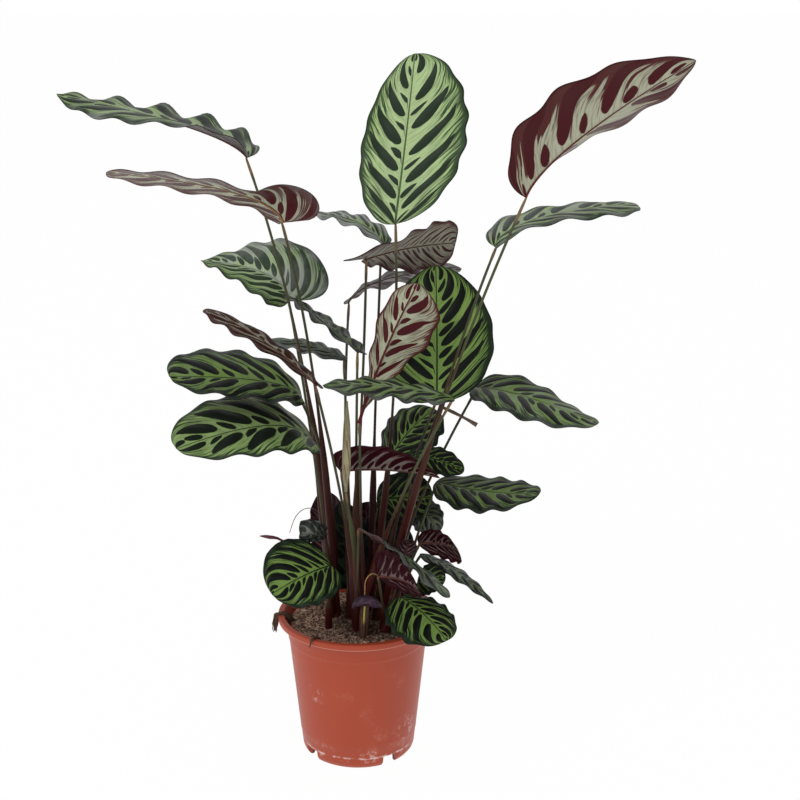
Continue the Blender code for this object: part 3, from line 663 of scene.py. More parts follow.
LEAVES = [
    leaf("top_left", "left", (-0.111, 0.08, 0.629), (-0.317, 0.155, 0.682), (0.3, 0.1, 1), 0.11,
         middle=(-0.055, 0.025, 0.42), arch=0.011, knee=0.12, lift=(24, 32), unfold=1.15,
         curl=(-30, -10), twist=-32, skew=-0.06, wave=0.006, frill=(0.4, 1.1), waves=5.6, phase=0.82,
         neck=0.42, point=0.85, lobe=(0, 0)),
    leaf("left_high", "left", (-0.069, -0.03, 0.587), (-0.236, -0.06, 0.644), (0.2, 0.42, 0.9), 0.084,
         middle=(-0.04, -0.012, 0.4), arch=0.016, knee=0.1, twist=2, lift=(88, 0), unfold=3.2,
         curl=(-5, -5), neck=0.3, point=0.4, wave=0.002, lobe=(0.008, 0)),
    leaf("back_high", "back", (0.027, 0.12, 0.528), (-0.063, 0.155, 0.551), (0.2, -0.05, 1), 0.078,
         arch=0.014, knee=0.3, lift=(22, 6), lobe=(0.002, 0.006)),
    leaf("top_middle", "back", (0.04, 0, 0.578), (0.06, 0.03, 0.744), (-0.25, -0.95, 0.2), 0.105,
         middle=(0.036, 0.008, 0.36), lift=(4, 4), curl=(-12, -12), arch=-0.003, skew=0.15, slant=0.29,
         waves=6, wave=0.002, point=0.56, lobe=(0, 0)),
    leaf("top_right", "right", (0.168, -0.02, 0.61), (0.323, -0.06, 0.751), (-0.1, 0.95, 0.35), 0.114,
         middle=(0.087, -0.045, 0.4), knee=0.2, sway=0.01, lift=(70, 5), unfold=0.8, curl=(10, -20),
         skew=0.08, slant=0.1, waves=4.3, phase=0.4, ruffle=0.09, neck=0.65, point=0.85, lobe=(0, 0)),
    leaf("right_level", "right", (0.141, 0.02, 0.55), (0.289, 0.08, 0.581), (-0.25, -0.18, 1), 0.09,
         middle=(0.09, 0, 0.4), arch=0.016, knee=0.08, lift=(6, 34), unfold=0.7, wave=0.002, neck=0.4,
         point=0.45, lobe=(0.002, 0)),
    leaf("left_pale", "left", (-0.073, 0.115, 0.466), (-0.169, 0.145, 0.503), (0.35, -0.35, 0.85), 0.09,
         arch=0.02, knee=0.12, lift=(14, 24), skew=0.22, twist=50, neck=0.38, point=0.65,
         lobe=(0.003, 0.007)),
    leaf("left_edge_on", "middle", (0.003, 0.01, 0.442), (-0.075, 0.095, 0.479), (0.65, 0, 0.75), 0.066,
         lobe=(0.004, 0.004), lift=(15, 15), arch=0.002),
    leaf("back_ribbon", "middle", (-0.012, 0.136, 0.458), (0.112, 0.15, 0.493), (-0.3, 0.5, 0.8), 0.05,
         middle=(-0.014, 0.085, 0.31), arch=0.014, knee=0.2, twist=-24, lobe=(0.004, 0.001)),
    leaf("back_folded", "middle", (0.009, 0.05, 0.53), (0.104, 0.11, 0.532), (-0.3, 0.65, 0.6), 0.072,
         middle=(0.003, 0.045, 0.34), arch=0.004, twist=-50, neck=0.42, point=0.3, lobe=(0, 0.03)),
    leaf("middle_underside", "front", (0.003, -0.05, 0.386), (0.063, -0.02, 0.524), (-0.55, 0.85, 0.05),
         0.065, lift=(5, 62), skew=-0.38, neck=2, point=0.7, lobe=(0, 0)),
    leaf("middle_bright", "right", (0.083, 0.017, 0.386), (0.082, 0.067, 0.519), (0.1, -0.93, 0.35),
         0.121, slant=0.1, neck=0.42, point=0.6),
    leaf("left_ribbon", "front", (-0.036, -0.085, 0.438), (-0.132, -0.172, 0.541), (0.5, 0.45, 0.7),
         0.076, twist=20, wave=0.002, lobe=(0.002, 0.006)),
    leaf("left_behind", "middle", (-0.012, 0.045, 0.423), (-0.098, 0.085, 0.433), (0.15, 0.1, 1), 0.056,
         wave=0.002),
    leaf("left_bright", "left", (-0.053, -0.05, 0.413), (-0.177, -0.11, 0.455), (0.25, -0.25, 0.93),
         0.085, middle=(-0.028, 0.015, 0.28), arch=0.012, knee=0.15, skew=0.3, slant=0.02, neck=0.42,
         point=0.44, lobe=(0.001, 0.003)),
    leaf("left_low", "left", (-0.042, -0.045, 0.364), (-0.17, -0.135, 0.39), (0, -0.4, 0.9), 0.097,
         arch=0.024, knee=0.28, skew=0.2, slant=0.08, neck=0.38, point=0.46, lobe=(0, 0.004)),
    leaf("front_level", "front", (0.099, -0.07, 0.419), (-0.031, -0.08, 0.436), (0.1, 0.05, 1), 0.07),
    leaf("right_low", "right", (0.125, 0.07, 0.384), (0.249, 0, 0.368), (0.3, -0.12, 0.95), 0.087,
         knee=0.3, lift=(34, 8), unfold=1.4, wave=0.002, neck=0.42, lobe=(0, 0.001)),
    leaf("back_upright", "back", (0.034, 0.07, 0.303), (0.083, 0.1, 0.35), (-0.45, -0.45, 0.75), 0.078,
         middle=(0.022, 0.065, 0.22), wave=0.002, point=0.45),
    leaf("low_right", "low_right", (0.083, 0.04, 0.289), (0.19, -0.01, 0.295), (-0.1, -0.08, 1), 0.08,
         wave=0.002, arch=-0.005),
    leaf("middle_purple", "front", (-0.017, -0.02, 0.324), (0.086, -0.025, 0.318), (0.1, 0.9, 0.4),
         0.056, lift=(70, 5), skew=0.4, neck=0.4, point=0.85, wave=0.002, lobe=(0.001, 0.005)),
    leaf("middle_dark", "low_right", (0.053, 0.034, 0.321), (0.112, 0.016, 0.31), (0, -0.5, 0.85),
         0.036, middle=(0.053, 0.028, 0.235), wave=0.0015),
    leaf("inner_bright", "back", (0.02, 0.054, 0.264), (0.08, 0.048, 0.268), (0.05, -0.9, 0.4), 0.056,
         wave=0.0015, neck=0.42, point=0.42, lobe=(0, 0)),
    leaf("inner_grey", "low_right", (0.058, 0.073, 0.25), (0.087, 0.06, 0.222), (0.3, -0.6, 0.75),
         0.043, wave=0.0015, lobe=(0, 0)),
    leaf("low_purple", "low_front", (0.064, -0.02, 0.243), (0.105, -0.05, 0.247), (0.3, 0.85, 0.45),
         0.048, wave=0.0015, point=0.3, lobe=(0, 0)),
    leaf("low_small", "low_front", (0.05, -0.038, 0.235), (0.055, -0.042, 0.257), (-0.2, 0.9, 0.3),
         0.02, wave=0.001, arch=0.002, lobe=(0, 0)),
    leaf("front_purple", "low_front", (0.022, -0.055, 0.222), (0.065, -0.1, 0.225), (0.7, 0.6, 0.3),
         0.061, lift=(20, 5), skew=0.36, wave=0.0015, lobe=(0, 0)),
    leaf("low_ribbon", "low_front", (0.066, -0.002, 0.224), (0.142, -0.04, 0.184), (0.55, -0.05, 0.85),
         0.034, wave=0.001, point=0.8, lobe=(0, 0)),
    leaf("low_dark", "low_front", (0.063, -0.03, 0.203), (0.092, -0.047, 0.216), (0.2, -0.7, 0.7),
         0.036, wave=0.001, lobe=(0, 0)),
    leaf("low_long", "front", (0.002, -0.055, 0.275), (0.095, -0.1, 0.218), (0.6, 0.25, 0.75), 0.052,
         twist=30, wave=0.002, neck=0.9, point=0.6, lobe=(0, 0)),
    leaf("front_right", "low_front", (0.045, -0.045, 0.194), (0.092, -0.1, 0.17), (0.15, -0.3, 0.95),
         0.072, skew=0.18, wave=0.002, point=0.42),
    leaf("front_left", "low_left", (-0.026, -0.042, 0.228), (-0.085, -0.085, 0.215), (0.05, -0.6, 0.8),
         0.086, lift=(25, 25), curl=(-20, -20), wave=0.002, point=0.45),
    leaf("left_inner", "left", (-0.026, 0.06, 0.178), (-0.036, 0.066, 0.268), (0.1, 0.9, 0.3), 0.046,
         wave=0.002, lobe=(0, 0)),
    leaf("back_inner", "back", (0.002, 0.078, 0.172), (0.01, 0.086, 0.248), (-0.1, 0.9, 0.3), 0.05,
         wave=0.002, lobe=(0, 0)),
    leaf("rolled", "front", (-0.01, -0.049, 0.312), (-0.008, -0.05, 0.41), (0, -1, 0), 0.009, arch=0,
         sheath=0.8, rolled=True),
]


def half_width(spec, u, side):
    """Half of the blade's width at u: closed on the petiole, round above it, pointed at the tip."""
    neck, end = spec.neck, spec.point
    widest = neck / (neck + end)
    near, far = max(0, u - BLADE_START), max(0, 1 - BLADE_START - u)
    shape = (near / widest) ** neck * (far / (1 - widest)) ** end
    turns = spec.waves * u + spec.phase + 0.3 + 0.45 * side
    ruffle = 1 + spec.ruffle * math.sin(math.tau * turns)
    return BLADE_END + spec.width / 2 * shape * ruffle * (1 + spec.skew * (2 * side - 1))


def blade_frame(spec, u):
    """The midrib's point, direction, rightward direction and upward direction at u."""
    base, tip = spec.base, spec.tip
    chord = tip - base
    right = chord.cross(spec.face).normalized()
    up = right.cross(chord).normalized()
    knee = base + chord * spec.knee + up * (2 * spec.arch) + right * (2 * spec.sway)
    t = u + 1.4 * (0.5 - spec.knee) * u * (1 - u)
    point = base * (1 - t) ** 2 + knee * (2 * t * (1 - t)) + tip * t ** 2
    along = ((knee - base) * (1 - t) + (tip - knee) * t).normalized()
    turn = Matrix.Rotation(math.radians(spec.twist) * (u - 0.5), 3, along)
    right = turn @ (right - along * right.dot(along)).normalized()
    return point, along, right, right.cross(along)


def petiole_foot(spec):
    """Where the petiole leaves the peat: the petioles of one shoot stand in a tight ring."""
    members = [other.name for other in LEAVES if other.shoot == spec.shoot]
    x, y = SHOOT_FEET[spec.shoot]
    if len(members) > 1:
        turn = math.tau * members.index(spec.name) / len(members)
        x += PETIOLE_RING * math.cos(turn)
        y += PETIOLE_RING * math.sin(turn)
    return Vector((x, y, soil_height(x, y) + 0.002))


def petiole_bend(spec, foot, end):
    """The point halfway along the petiole: by default it rises first and leans out later."""
    if spec.middle:
        return Vector(spec.middle)
    middle = (foot + end) / 2
    middle.xy = foot.xy + (end.xy - foot.xy) * 0.4
    return middle


def petiole_end(spec):
    """Just under the blade's base, clear of it whichever way the petiole comes in."""
    point, along, _, up = blade_frame(spec, BLADE_START)
    if spec.rolled:
        return point - along * (2 * BLADE_GAP)
    foot = petiole_foot(spec)
    arrival = (3 * point - 4 * petiole_bend(spec, foot, point) + foot).normalized()
    drop = BLADE_THICKNESS / 2 + PETIOLE_END_RADIUS * arrival.cross(up).length
    return point + along * 0.001 - up * drop


def petiole(spec, tone):
    """One petiole, from its root in the peat to its joint under the blade."""
    foot, end = petiole_foot(spec), petiole_end(spec)
    middle = petiole_bend(spec, foot, end)
    root = Vector((foot.x, foot.y, SOIL_LEVEL - STEM_SINK))
    rise = 0.03

    def path(t):
        if t < rise:
            return root + (foot - root) * (t / rise)
        s = (t - rise) / (1 - rise)
        return foot * ((1 - s) * (1 - 2 * s)) + middle * (4 * s * (1 - s)) + end * (s * (2 * s - 1))

    def radius(t):
        s = max(0, (t - rise) / (1 - rise))
        wrap = max(0, min(1, (spec.sheath - s) / 0.2 + 0.5))
        thick = PETIOLE_RADIUS + (SHEATH_RADIUS - PETIOLE_RADIUS) * wrap * wrap * (3 - 2 * wrap)
        joint = max(0, 1 - abs(s - JOINT_PLACE) / JOINT_REACH)
        thin = max(0, (s - 0.9) / 0.1)
        return thick * (1 - 0.22 * thin) + JOINT_SWELL * joint ** 0.5

    made = rod(path, radius, STEM_RINGS, STEM_SIDES)
    shade_rod(made, tone)
    return made


stem_skin = Finish("stem_skin", 0.45, 0.15)
stem = stem_skin.attribute("stem")
spot = stem_skin.place()
up_stem, round_stem, tone = stem.part("X"), stem.part("Y"), stem.part("Z")
streak_place = stem_skin.vector(up_stem * 3, round_stem * 7, tone * 9)
streak = stem_skin.noise(streak_place, 2.2, 4, 0.6)
mottle = stem_skin.noise(spot, 60, 3, 0.6)
age = up_stem + 0.22 * (mottle - 0.5) + 0.12 * (streak - 0.5)
skin = age.step(0.2, 0.5).mix((68, 20, 15), (72, 44, 30))
skin = age.step(0.42, 0.75).mix(skin, (74, 80, 52))
skin = age.step(0.93, 1).mix(skin, (142, 112, 76))
pale_streak = streak.step(0.55, 0.75) * (0.05 + 0.3 * age.step(0.3, 0.55))
skin = pale_streak.mix(skin, (124, 98, 70))
dusk = age.step(0.3, 0.8).mix((38, 12, 10), (58, 50, 38))
skin = tone.mix(skin, dusk)
stem_skin.feed("Base Color", skin)
stem_skin.bump(streak, 0.0002)

pick = random.Random(3)
for shoot in SHOOT_FEET:
    members = [spec for spec in LEAVES if spec.shoot == shoot]
    rods = [petiole(spec, pick.uniform(0, 0.7)) for spec in members]
    settle(joined(rods), "petioles_" + shoot, stem_skin, "petiole", "shoot_" + shoot)

# Leaves: thin oval blades with a wavy edge. The upper side is yellow-green with dark ovals along its
# side veins. The underside carries the same pattern in burgundy on grey-green. The lower leaves are
# the darker.

BLADE_SKIN = 0.0007
BLADE_ROWS = 84
BLADE_COLUMNS = 28
VEIN_REACH = 1.05
VEIN_LEAN = 0.55
VEIN_BEND = 0.5
TIP_SHARE = 0.985
PLEAT = 0.0007
MIDRIB_THICK = 0.0012
MIDRIB_THIN = 0.0003
LEAF_SHEEN = 0.12
BLADE_MARKS = ("vein", "look_upper", "look_under", "rim")

# For each blade: how many ovals a side; then for its upper side, and for its underside, how pale it is,
# how broad the ovals are and how far its dark edge comes in; and last how much painted grey sheen it has,
# once for both halves or for the left and the right half
LOOKS = {
    "top_left": (6, (0.74, 1.15, 0.5), (0.05, 1.9, 1.1), 0.45, 0.3),
    "left_high": (6, (0.62, 1.1, 0.5), (0.95, 1.1, 0.6), 0.25, 0.05),
    "back_high": (6, (0.66, 1.1, 0.5), (0.15, 1.7, 1.05), 0.9),
    "top_middle": (6, (0.95, 1, 0.2), (0.9, 1, 0.4), 0.05),
    "top_right": (4.3, (0.5, 1.2, 0.6), (0.88, 1.02, 1.05), 0),
    "right_level": (6, (0.76, 1.1, 0.5), (0.1, 1.8, 1.05), 0.6, 0.35),
    "left_pale": (6.5, (1.35, 1.25, 0.2), (1, 1.2, 0.3), 0.1, 0.85),
    "left_edge_on": (6, (0.25, 1.3, 0.7), (0.3, 1.5, 0.9), 0.3),
    "back_ribbon": (6, (0.25, 1.2, 0.7), (0.45, 1.1, 0.8), 0.55),
    "back_folded": (9, (0.5, 1.1, 0.5), (0.72, 0.65, 0.3), 0.05),
    "middle_underside": (6, (0.8, 0.8, 0.2), (1, 0.88, 0.1), 0),
    "middle_bright": (6, (0.52, 1.1, 0.3), (0.5, 1.2, 0.5), 0),
    "left_ribbon": (6, (0.35, 1.3, 0.7), (0.62, 1.25, 0.7), 0.1),
    "left_behind": (6, (0.3, 1.2, 0.7), (0.5, 1.4, 0.8), 0.55),
    "left_bright": (5, (0.46, 1.15, 0.55), (0.4, 1.4, 0.8), 0.12),
    "left_low": (4.5, (0.66, 1.25, 0.1), (0.5, 1.3, 0.6), 0.05),
    "front_level": (6, (0.42, 1, 0.45), (0.45, 1.3, 0.6), 0.25),
    "right_low": (6, (0.45, 1.1, 0.45), (0.45, 1.3, 0.6), 0.25),
    "back_upright": (5, (0.45, 1.25, 0.6), (0.4, 1.3, 0.7), 0),
    "low_right": (5.5, (0.4, 1.15, 0.6), (0.4, 1.3, 0.7), 0.05),
    "middle_purple": (7, (0.4, 1.2, 0.6), (0.5, 1.25, 0.9), 0),
    "middle_dark": (6, (0.36, 1.3, 0.8), (0.3, 1.4, 0.8), 0),
    "inner_bright": (5, (0.3, 1.3, 0.9), (0.3, 1.4, 0.8), 0),
    "inner_grey": (5, (0.18, 1.2, 0.8), (0.3, 1.4, 0.8), 0.3),
    "low_purple": (6, (0.3, 1.2, 0.6), (0.4, 1.3, 0.8), 0),
    "low_small": (4, (0.2, 1.3, 0.8), (0.2, 1.5, 0.9), 0.1),
    "front_purple": (5, (0.3, 1.2, 0.8), (0.25, 1.7, 1), 0),
    "low_ribbon": (6, (0.25, 1.2, 0.7), (0.3, 1.3, 0.8), 0.3),
    "low_dark": (4, (0.3, 1.3, 0.9), (0.2, 1.3, 0.9), 0),
    "low_long": (6, (0.3, 1.2, 0.7), (0.3, 1.4, 0.8), 0.3),
    "front_right": (5, (0.45, 1.15, 0.5), (0.4, 1.3, 0.7), 0),
    "front_left": (5, (0.5, 1.2, 0.5), (0.4, 1.3, 0.7), 0),
    "left_inner": (5, (0, 1.4, 0.9), (0, 1.6, 1), 0.05),
    "back_inner": (5, (0, 1.4, 0.9), (0, 1.6, 1), 0.05),
}

# How red a blade's midrib is, 0 for straw to 1 for dark red, and how stout, where it isn't the usual
RIBS = {
    "middle_underside": (1, 1.6),
    "top_right": (0.8, 1),
    "left_high": (0.1, 1.1),
}
USUAL_RIB = (0.5, 1)


def midrib(spec):
    """The midrib stands out of the underside, thick at the petiole and fine at the tip."""
    redness, stout = RIBS.get(spec.name, USUAL_RIB)

    def path(t):
        point, _, _, up = blade_frame(spec, TIP_SHARE * t)
        return point - up * (0.3 * BLADE_SKIN + 0.4 * thickness(t))

    def thickness(t):
        return stout * (MIDRIB_THICK + (MIDRIB_THIN - MIDRIB_THICK) * max(0, t) ** 0.6)

    made = rod(path, thickness, 36, 8)
    shade_rod(made, redness)
    return made


def blade(spec, number, look, upper, under, ribs):
    """The blade as a fine bent sheet that knows its own veins, its two sides in their own finishes."""
    ovals, look_upper, look_under, *grey_and_painted_sheen = look
    made, places = sheet(BLADE_ROWS, BLADE_COLUMNS)
    chord = spec.tip - spec.base
    slope = spec.width / 2 / chord.length
    ahead = chord.normalized()
    for word in BLADE_MARKS:
        made.data.attributes.new(word, "FLOAT_VECTOR", "POINT")
    marks = [made.data.attributes[word].data for word in BLADE_MARKS]
    frames = {}
    for even, across in places:
        if even not in frames:
            u = BLADE_START + 0.992 * (even - 0.45 * math.sin(math.tau * even) / math.tau)
            frames[even] = (u, *blade_frame(spec, u))
    for vertex, (even, across) in zip(made.data.vertices, places):
        u, point, along, right, up = frames[even]
        v = 2 * across - 1
        side = int(v >= 0)
        sign = 2 * side - 1
        wide = half_width(spec, u, side)
        reach = wide * abs(v)
        start = math.radians(spec.lift[side]) * max(0, 1 - spec.unfold * u)
        bend = math.radians(spec.curl[side]) * abs(v)
        angle = start + bend
        if abs(bend) > 1e-6:
            over = reach * (math.sin(angle) - math.sin(start)) / bend
            rise = reach * (math.cos(start) - math.cos(angle)) / bend
        else:
            over = reach * math.cos(start)
            rise = reach * math.sin(start)
        ripple = math.sin(math.tau * (spec.waves * u + spec.phase + 0.25 * side))
        rise += spec.wave * spec.frill[side] * ripple * v * v * math.sin(math.pi * u) ** 0.5
        count = ovals * (u - slope * abs(v) * (VEIN_LEAN + VEIN_BEND * abs(v))) * VEIN_REACH + 0.5 * side
        pleat = PLEAT * math.cos(math.tau * count) * math.sin(math.pi * u)
        rise += pleat * min(1, 3 * abs(v)) * (1 - v * v)
        lobe = 8 * spec.lobe[side] * wide / spec.width * v * v * (1 - u) ** 6
        slip = along * (spec.slant * sign * reach) - ahead * lobe
        vertex.co = point + right * (sign * over) + up * rise + slip
        values = (count, v, sign * reach), look_upper, look_under, (u, number, grey_and_painted_sheen[-side])
        for mark, value in zip(marks, values):
            mark[vertex.index].vector = value
    made.data.materials.append(upper.material)
    made.data.materials.append(under.material)
    skin = made.modifiers.new("skin", "SOLIDIFY")
    skin.thickness = BLADE_SKIN
    skin.offset = 0
    skin.material_offset = 1
    skin.material_offset_rim = 1
    apply_modifiers(made)
    rib = midrib(spec)
    rib.data.materials.append(ribs.material)
    return joined([made, rib])


def leaf_finish(name, look_word, fields, ovals, margins, spines, warm, roughness):
    """One side of a blade: dark ovals on a paler field that feathers out into a dark margin."""
    finish = Finish(name, roughness, LEAF_SHEEN)
    vein, look, rim = (finish.attribute(word) for word in ("vein", look_word, "rim"))
    count, v, metres = vein.part("X"), vein.part("Y"), vein.part("Z")
    tone, breadth, edge = look.part("X"), look.part("Y"), look.part("Z")
    u, seed, grey_and_painted_sheen = rim.part("X"), finish.math("ROUND", rim.part("Y")), rim.part("Z")
    blunt = finish.math("MAXIMUM", (edge - 0.85) * 2.5, 0)
    w = abs(v)
    side = finish.math("GREATER_THAN", v, 0)

    def cell(shift):
        """How far off the nearest vein this point is, and random values of that vein's own."""
        number = finish.math("FLOOR", count + (0.5 + shift))
        place = finish.vector(number, side * 5, seed)
        draw = finish.node("ShaderNodeTexWhiteNoise", {}, {"Vector": place}, "Color")
        return abs(count + shift - number), draw

    def lens(off, first, last, girth, blunt):
        """An oval along its vein, pointed toward the edge, or where blunt is 1 a band that widens."""
        t = finish.math("MINIMUM", finish.math("MAXIMUM", (w - first) / (last - first), 0), 1)
        oval = t ** 0.5 * (1 - t) ** 0.75 * 2.32
        shape = oval + (t ** 0.5 * 1.15 - oval) * blunt
        return (shape * girth - off).step(0, 0.03)

    wobble = 0.06 * (finish.noise(finish.vector(count * 2, w * 4, seed), 2) - 0.5)
    off, draw = cell(0)
    first = 0.06 + 0.05 * draw.part("X")
    last = 0.84 + 0.12 * draw.part("Y") + 0.22 * edge - 0.18 * u
    big = lens(off + wobble, first, last, breadth * (0.25 + 0.06 * draw.part("Z")), blunt)
    off, draw = cell(0.5)
    there = finish.math("GREATER_THAN", draw.part("Y"), 0.22)
    girth = there * breadth * (0.11 + 0.07 * draw.part("Z"))
    small = lens(off + wobble, 0.03, 0.26 + 0.12 * draw.part("X"), girth, 0)
    dark = finish.math("MAXIMUM", big, small)

    feather = finish.noise(finish.vector(count * 8, w * 1.2, seed * 3), 1, 2, 0.55)
    fringe = (w + 2.6 * (feather - 0.5)).step(0.82 - 0.3 * edge, 0.98 - 0.3 * edge)
    brim = finish.math("MAXIMUM", fringe, w.step(0.89 - 0.16 * edge, 0.97 - 0.16 * edge))
    hair = finish.noise(finish.vector(count * 17, w * 2.6, seed * 5), 1, 2, 0.6)
    lines = hair.step(0.45, 0.61) * (0.26 + 0.45 * w)
    thin = 0.0014 - 0.0009 * u
    spine = 1 - abs(metres).step(thin * 0.7, thin)
    hem = w.step(0.965, 0.985)

    def by_tone(colours):
        return (tone * 2 - 1).mix((tone * 2).mix(colours[0], colours[1]), colours[2])

    warmer = (tone * 0.5).mix(by_tone(fields), warm)
    ground = (w.step(0.35, 0.95) * 0.6).mix(by_tone(fields), warmer)
    margin = by_tone(margins)
    colour = lines.mix(ground, margin)
    colour = brim.mix(colour, margin)
    colour = dark.mix(colour, ((tone - 0.5) * 1.25).mix(*ovals))
    colour = (spine * 0.9).mix(colour, by_tone(spines))
    colour = (hem * 0.7).mix(colour, margins[0])
    # Painted sheen: pale grey patches, fainter on the ovals, stand for the white room reflected in the
    # glossy blade; on the withered scrap the grey is also its own dry colour.
    patch = finish.noise(finish.place(), 34, 3, 0.55)
    cloud = patch.step(0.3, 0.7) * (0.25 + 0.75 * (1 - dark))
    colour = (cloud * grey_and_painted_sheen).mix(colour, (170, 174, 172))
    finish.feed("Base Color", colour)
    finish.feed("Roughness", 0.5 - 0.08 * dark - 0.08 * patch)
    finish.bump(hair + 0.9 * finish.math("COSINE", count * math.tau * 2) - 1.5 * spine, 0.0002)
    return finish


upper = leaf_finish(
    "leaf_upper", "look_upper",
    ((36, 50, 28), (122, 152, 76), (178, 200, 146)),
    ((14, 19, 15), (46, 62, 42)),
    ((14, 22, 16), (28, 42, 26), (52, 74, 44)),
    ((14, 24, 14), (30, 48, 26), (58, 80, 48)),
    (142, 182, 80), 0.45,
)
under = leaf_finish(
    "leaf_under", "look_under",
    ((92, 62, 70), (124, 114, 108), (182, 186, 160)),
    ((44, 6, 16), (86, 20, 24)),
    ((36, 6, 14), (58, 14, 24), (84, 40, 36)),
    ((44, 8, 16), (66, 16, 22), (88, 24, 22)),
    (150, 146, 130), 0.5,
)
rib_skin = Finish("rib_skin", 0.5, 0.15)
stem = rib_skin.attribute("stem")
grain = rib_skin.noise(rib_skin.place(), 160, 3, 0.6)
redness = stem.part("Z") * 2
russet = redness.mix((170, 128, 84), (98, 58, 46))
russet = (redness - 1).mix(russet, (104, 28, 26))
russet = (stem.part("X") * 0.6).mix(russet, (84, 38, 38))
rib_skin.feed("Base Color", (grain * 0.3).mix(russet, (66, 34, 30)))
rib_skin.bump(grain, 0.0001)
for number, spec in enumerate(LEAVES):
    if not spec.rolled:
        made = blade(spec, number, LOOKS[spec.name], upper, under, rib_skin)
        settle(made, "blade_" + spec.name, None, "leaf", "leaf_" + spec.name)

# Inner leaves: small, very dark leaves low among the shoots, each on a short petiole of its own, and a
# withered scrap of a leaf that hangs on one of the petioles on the left.

INNER_LOOK = (5, (0.02, 1.3, 0.8), (0, 1.6, 1), 0.02)
INNER_NUMBER = 40
STALK_RADIUS = 0.0012
STALK_MIDDLE = 0.156
SCRAP_NUMBER = 50
SCRAP_LOOK = (3, (0.05, 1.6, 1.1), (0.1, 1.6, 1.1), 0.45)
DARK_LEAF = {"wave": 0.002, "neck": 0.4}

# Each inner leaf, and where its petiole leaves the peat
INNER_LEAVES = (
    (leaf("inner_left", "", (-0.012, 0.04, 0.165), (-0.016, 0.05, 0.262), (0.1, -0.9, 0.3), 0.052,
          **DARK_LEAF),
     (-0.012, 0.03)),
    (leaf("inner_middle", "", (0.018, 0.052, 0.165), (0.026, 0.062, 0.248), (-0.1, -0.9, 0.3), 0.052,
          **DARK_LEAF),
     (0.016, 0.042)),
    (leaf("inner_right", "", (0.034, 0.06, 0.168), (0.044, 0.07, 0.232), (0.1, -0.9, 0.4), 0.044,
          **DARK_LEAF),
     (0.03, 0.05)),
)
SCRAP = leaf(
    "scrap", "", (-0.0325, -0.018, 0.25), (-0.059, -0.024, 0.256), (0.1, -0.8, 0.5), 0.027,
    wave=0.004, curl=(40, 60), neck=0.8, point=0.4, skew=0.3,
)


def short_petiole(spec, foot):
    """A short petiole from the peat to a blade's base."""
    root = Vector((*foot, SOIL_LEVEL - STEM_SINK))
    middle = (root + spec.base) / 2
    middle.z = STALK_MIDDLE
    way = (root, middle, spec.base)
    made = rod(lambda t: along_points(way, t), lambda t: STALK_RADIUS, 10, 8)
    for value in made.data.attributes["stem"].data:
        value.vector = (value.vector.x * 0.4, value.vector.y, 0.6)
    return made


blades = []
for number, (spec, _) in enumerate(INNER_LEAVES, INNER_NUMBER):
    blades.append(blade(spec, number, INNER_LOOK, upper, under, rib_skin))
settle(joined(blades), "inner_blades", None, "leaf")
stalks = [short_petiole(spec, foot) for spec, foot in INNER_LEAVES]
settle(joined(stalks), "inner_petioles", stem_skin, "petiole")
settle(blade(SCRAP, SCRAP_NUMBER, SCRAP_LOOK, upper, under, rib_skin), "withered_scrap", None, "leaf")

# Rolled leaf and old sheath: a young leaf still rolled up tight, pale green with brown streaks, and in
# front the dark stub of an old sheath with a folded bud.

ROLLED_RADII = (0.0015, 0.0046, 0.0044, 0.0034, 0.001)
STUB = ((0.007, -0.049, 0.128), (0.007, -0.049, 0.153), (0.008, -0.05, 0.176), (0.009, -0.051, 0.19))
STUB_RADII = (0.004, 0.005, 0.0048, 0.004)
BUD = ((-0.004, -0.054, 0.186), (0.002, -0.055, 0.192), (0.011, -0.055, 0.195), (0.02, -0.053, 0.19),
       (0.026, -0.051, 0.186))
BUD_RADII = (0.0012, 0.0046, 0.0056, 0.0042, 0.001)
SLIT_TURN = 0.25


def drawn(path, radii, rings, sides):
    """A rod along path that is as thick as a few evenly spaced radii say."""
    spots = [(radius, 0, 0) for radius in radii]
    return rod(path, lambda t: max(0, along_points(spots, t).x), rings, sides)


rolled = next(spec for spec in LEAVES if spec.rolled)
rolled_leaf = drawn(lambda t: blade_frame(rolled, t)[0], ROLLED_RADII, 40, 20)
for vertex, value in zip(rolled_leaf.data.vertices, rolled_leaf.data.attributes["stem"].data):
    t, turn, _ = value.vector
    axis = blade_frame(rolled, t)[0]
    seam = (turn + 0.35 * t) % 1
    vertex.co = axis + (vertex.co - axis) * (0.86 + 0.22 * seam)
rolled_skin = Finish("rolled_skin", 0.45)
stem = rolled_skin.attribute("stem")
up_stem, round_stem = stem.part("X"), stem.part("Y")
wrap = rolled_skin.vector(up_stem * 2, round_stem * 9 + up_stem * 3, 0)
streak = rolled_skin.noise(wrap, 2, 4, 0.6)
cream = streak.step(0.42, 0.62).mix((158, 150, 112), (86, 62, 42))
cream = (up_stem.step(0.55, 0.95) * 0.5).mix(cream, (120, 128, 84))
rolled_skin.feed("Base Color", cream)
rolled_skin.bump(streak, 0.0004)
settle(rolled_leaf, "rolled_leaf", rolled_skin, "leaf", "leaf_rolled")

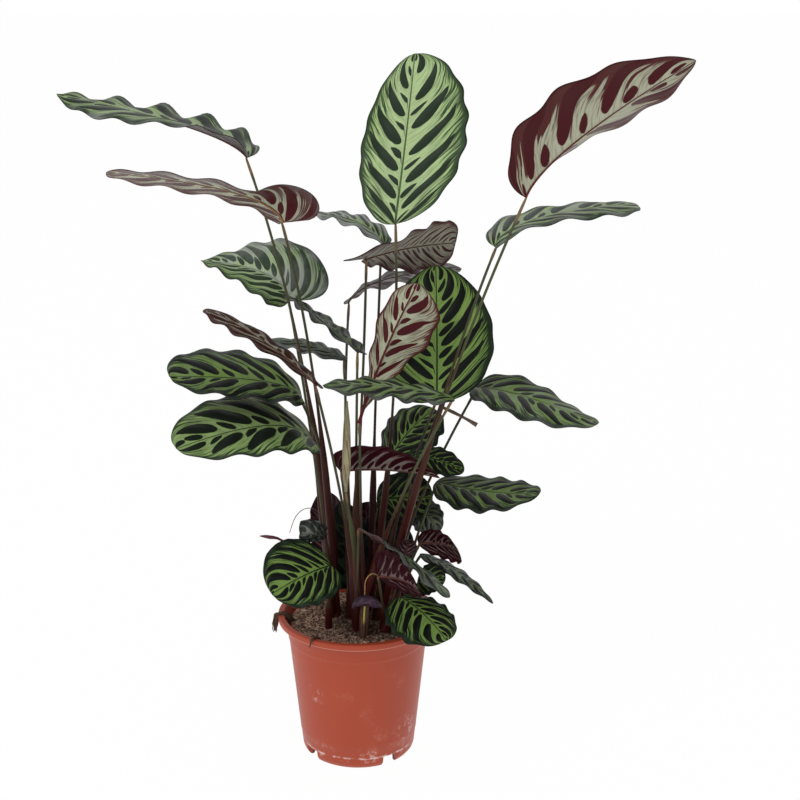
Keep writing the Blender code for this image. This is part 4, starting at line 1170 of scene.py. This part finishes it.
stub = drawn(lambda t: along_points(STUB, t), STUB_RADII, 24, 20)
fold = drawn(lambda t: along_points(BUD, t), BUD_RADII, 30, 20)
for vertex in fold.data.vertices:
    crease = noise.noise(Vector((vertex.co.x * 90, vertex.co.y * 240, vertex.co.z * 240)))
    vertex.co.z += 0.0012 * crease
stub_skin = Finish("stub_skin", 0.6, 0.2)
stem = stub_skin.attribute("stem")
up_stem, round_stem = stem.part("X"), stem.part("Y")
streak = stub_skin.noise(stub_skin.vector(up_stem * 1.5, round_stem * 9, 1), 2, 4, 0.6)
buff = streak.step(0.4, 0.62).mix((46, 28, 24), (94, 68, 54))
slit = abs(round_stem - SLIT_TURN).step(0.022, 0.034) + up_stem.step(0.92, 0.96)
slit = slit + (1 - up_stem.step(0.5, 0.62))
buff = (1 - slit).mix(buff, (176, 160, 66))
stub_skin.feed("Base Color", buff)
stub_skin.bump(streak, 0.0005)
fold_skin = Finish("fold_skin", 0.5, 0.3)
stem = fold_skin.attribute("stem")
streak = fold_skin.noise(fold_skin.vector(stem.part("X") * 3, stem.part("Y") * 7, 2), 2, 4, 0.6)
fold_skin.feed("Base Color", streak.step(0.42, 0.66).mix((38, 20, 34), (78, 52, 72)))
fold_skin.bump(streak, 0.0006)
stub.data.materials.append(stub_skin.material)
fold.data.materials.append(fold_skin.material)
settle(joined([stub, fold]), "old_sheath", None, "petiole", "bud")

# Dry bits: a snapped stalk on a petiole at the right, a dry tendril and a dead petiole at the left, and
# the straw-yellow stalk that bends over from the old sheath to a low leaf.

# Each bit's way, its radii along it, and its shade
BITS = (
    (((0.0868, -0.045, 0.402), (0.0975, -0.047, 0.3975), (0.11, -0.049, 0.3915), (0.1221, -0.0515, 0.385)),
     (0.0015, 0.0019, 0.0015, 0.0025), 0),
    (((-0.0335, -0.021, 0.2735), (-0.044, -0.026, 0.2845), (-0.0545, -0.03, 0.2855),
      (-0.063, -0.032, 0.277), (-0.069, -0.032, 0.26)), (0.0005, 0.0004, 0.0004, 0.0003), 0.25),
    (((-0.027, 0.002, 0.16), (-0.052, -0.01, 0.22), (-0.077, -0.03, 0.251),
      (-0.09, -0.04, 0.259), (-0.0985, -0.045, 0.2622)), (0.0011, 0.0011, 0.0012, 0.002, 0.0006), 0.5),
    (((0.009, -0.051, 0.186), (0.0088, -0.056, 0.206), (0.01, -0.059, 0.219),
      (0.016, -0.058, 0.2258), (0.0225, -0.055, 0.2226)), (0.0006, 0.0006, 0.0007, 0.0007), 1),
)
bits = []
for points, radii, shade in BITS:
    bit = drawn(lambda t: along_points(points, t), radii, 26, 8)
    shade_rod(bit, shade)
    bits.append(bit)
dry_skin = Finish("dry_skin", 0.7, 0.2)
stem = dry_skin.attribute("stem")
shade = stem.part("Z") * 2
grain = dry_skin.noise(dry_skin.place(), 320, 4, 0.6)
dry = shade.mix((92, 74, 64), (112, 66, 74))
dry = (shade - 1).mix(dry, (146, 120, 74))
dry_skin.feed("Base Color", (grain.step(0.45, 0.62) * 0.5).mix(dry, (60, 42, 40)))
dry_skin.bump(grain, 0.0003)
settle(joined(bits), "dry_bits", dry_skin, "petiole")
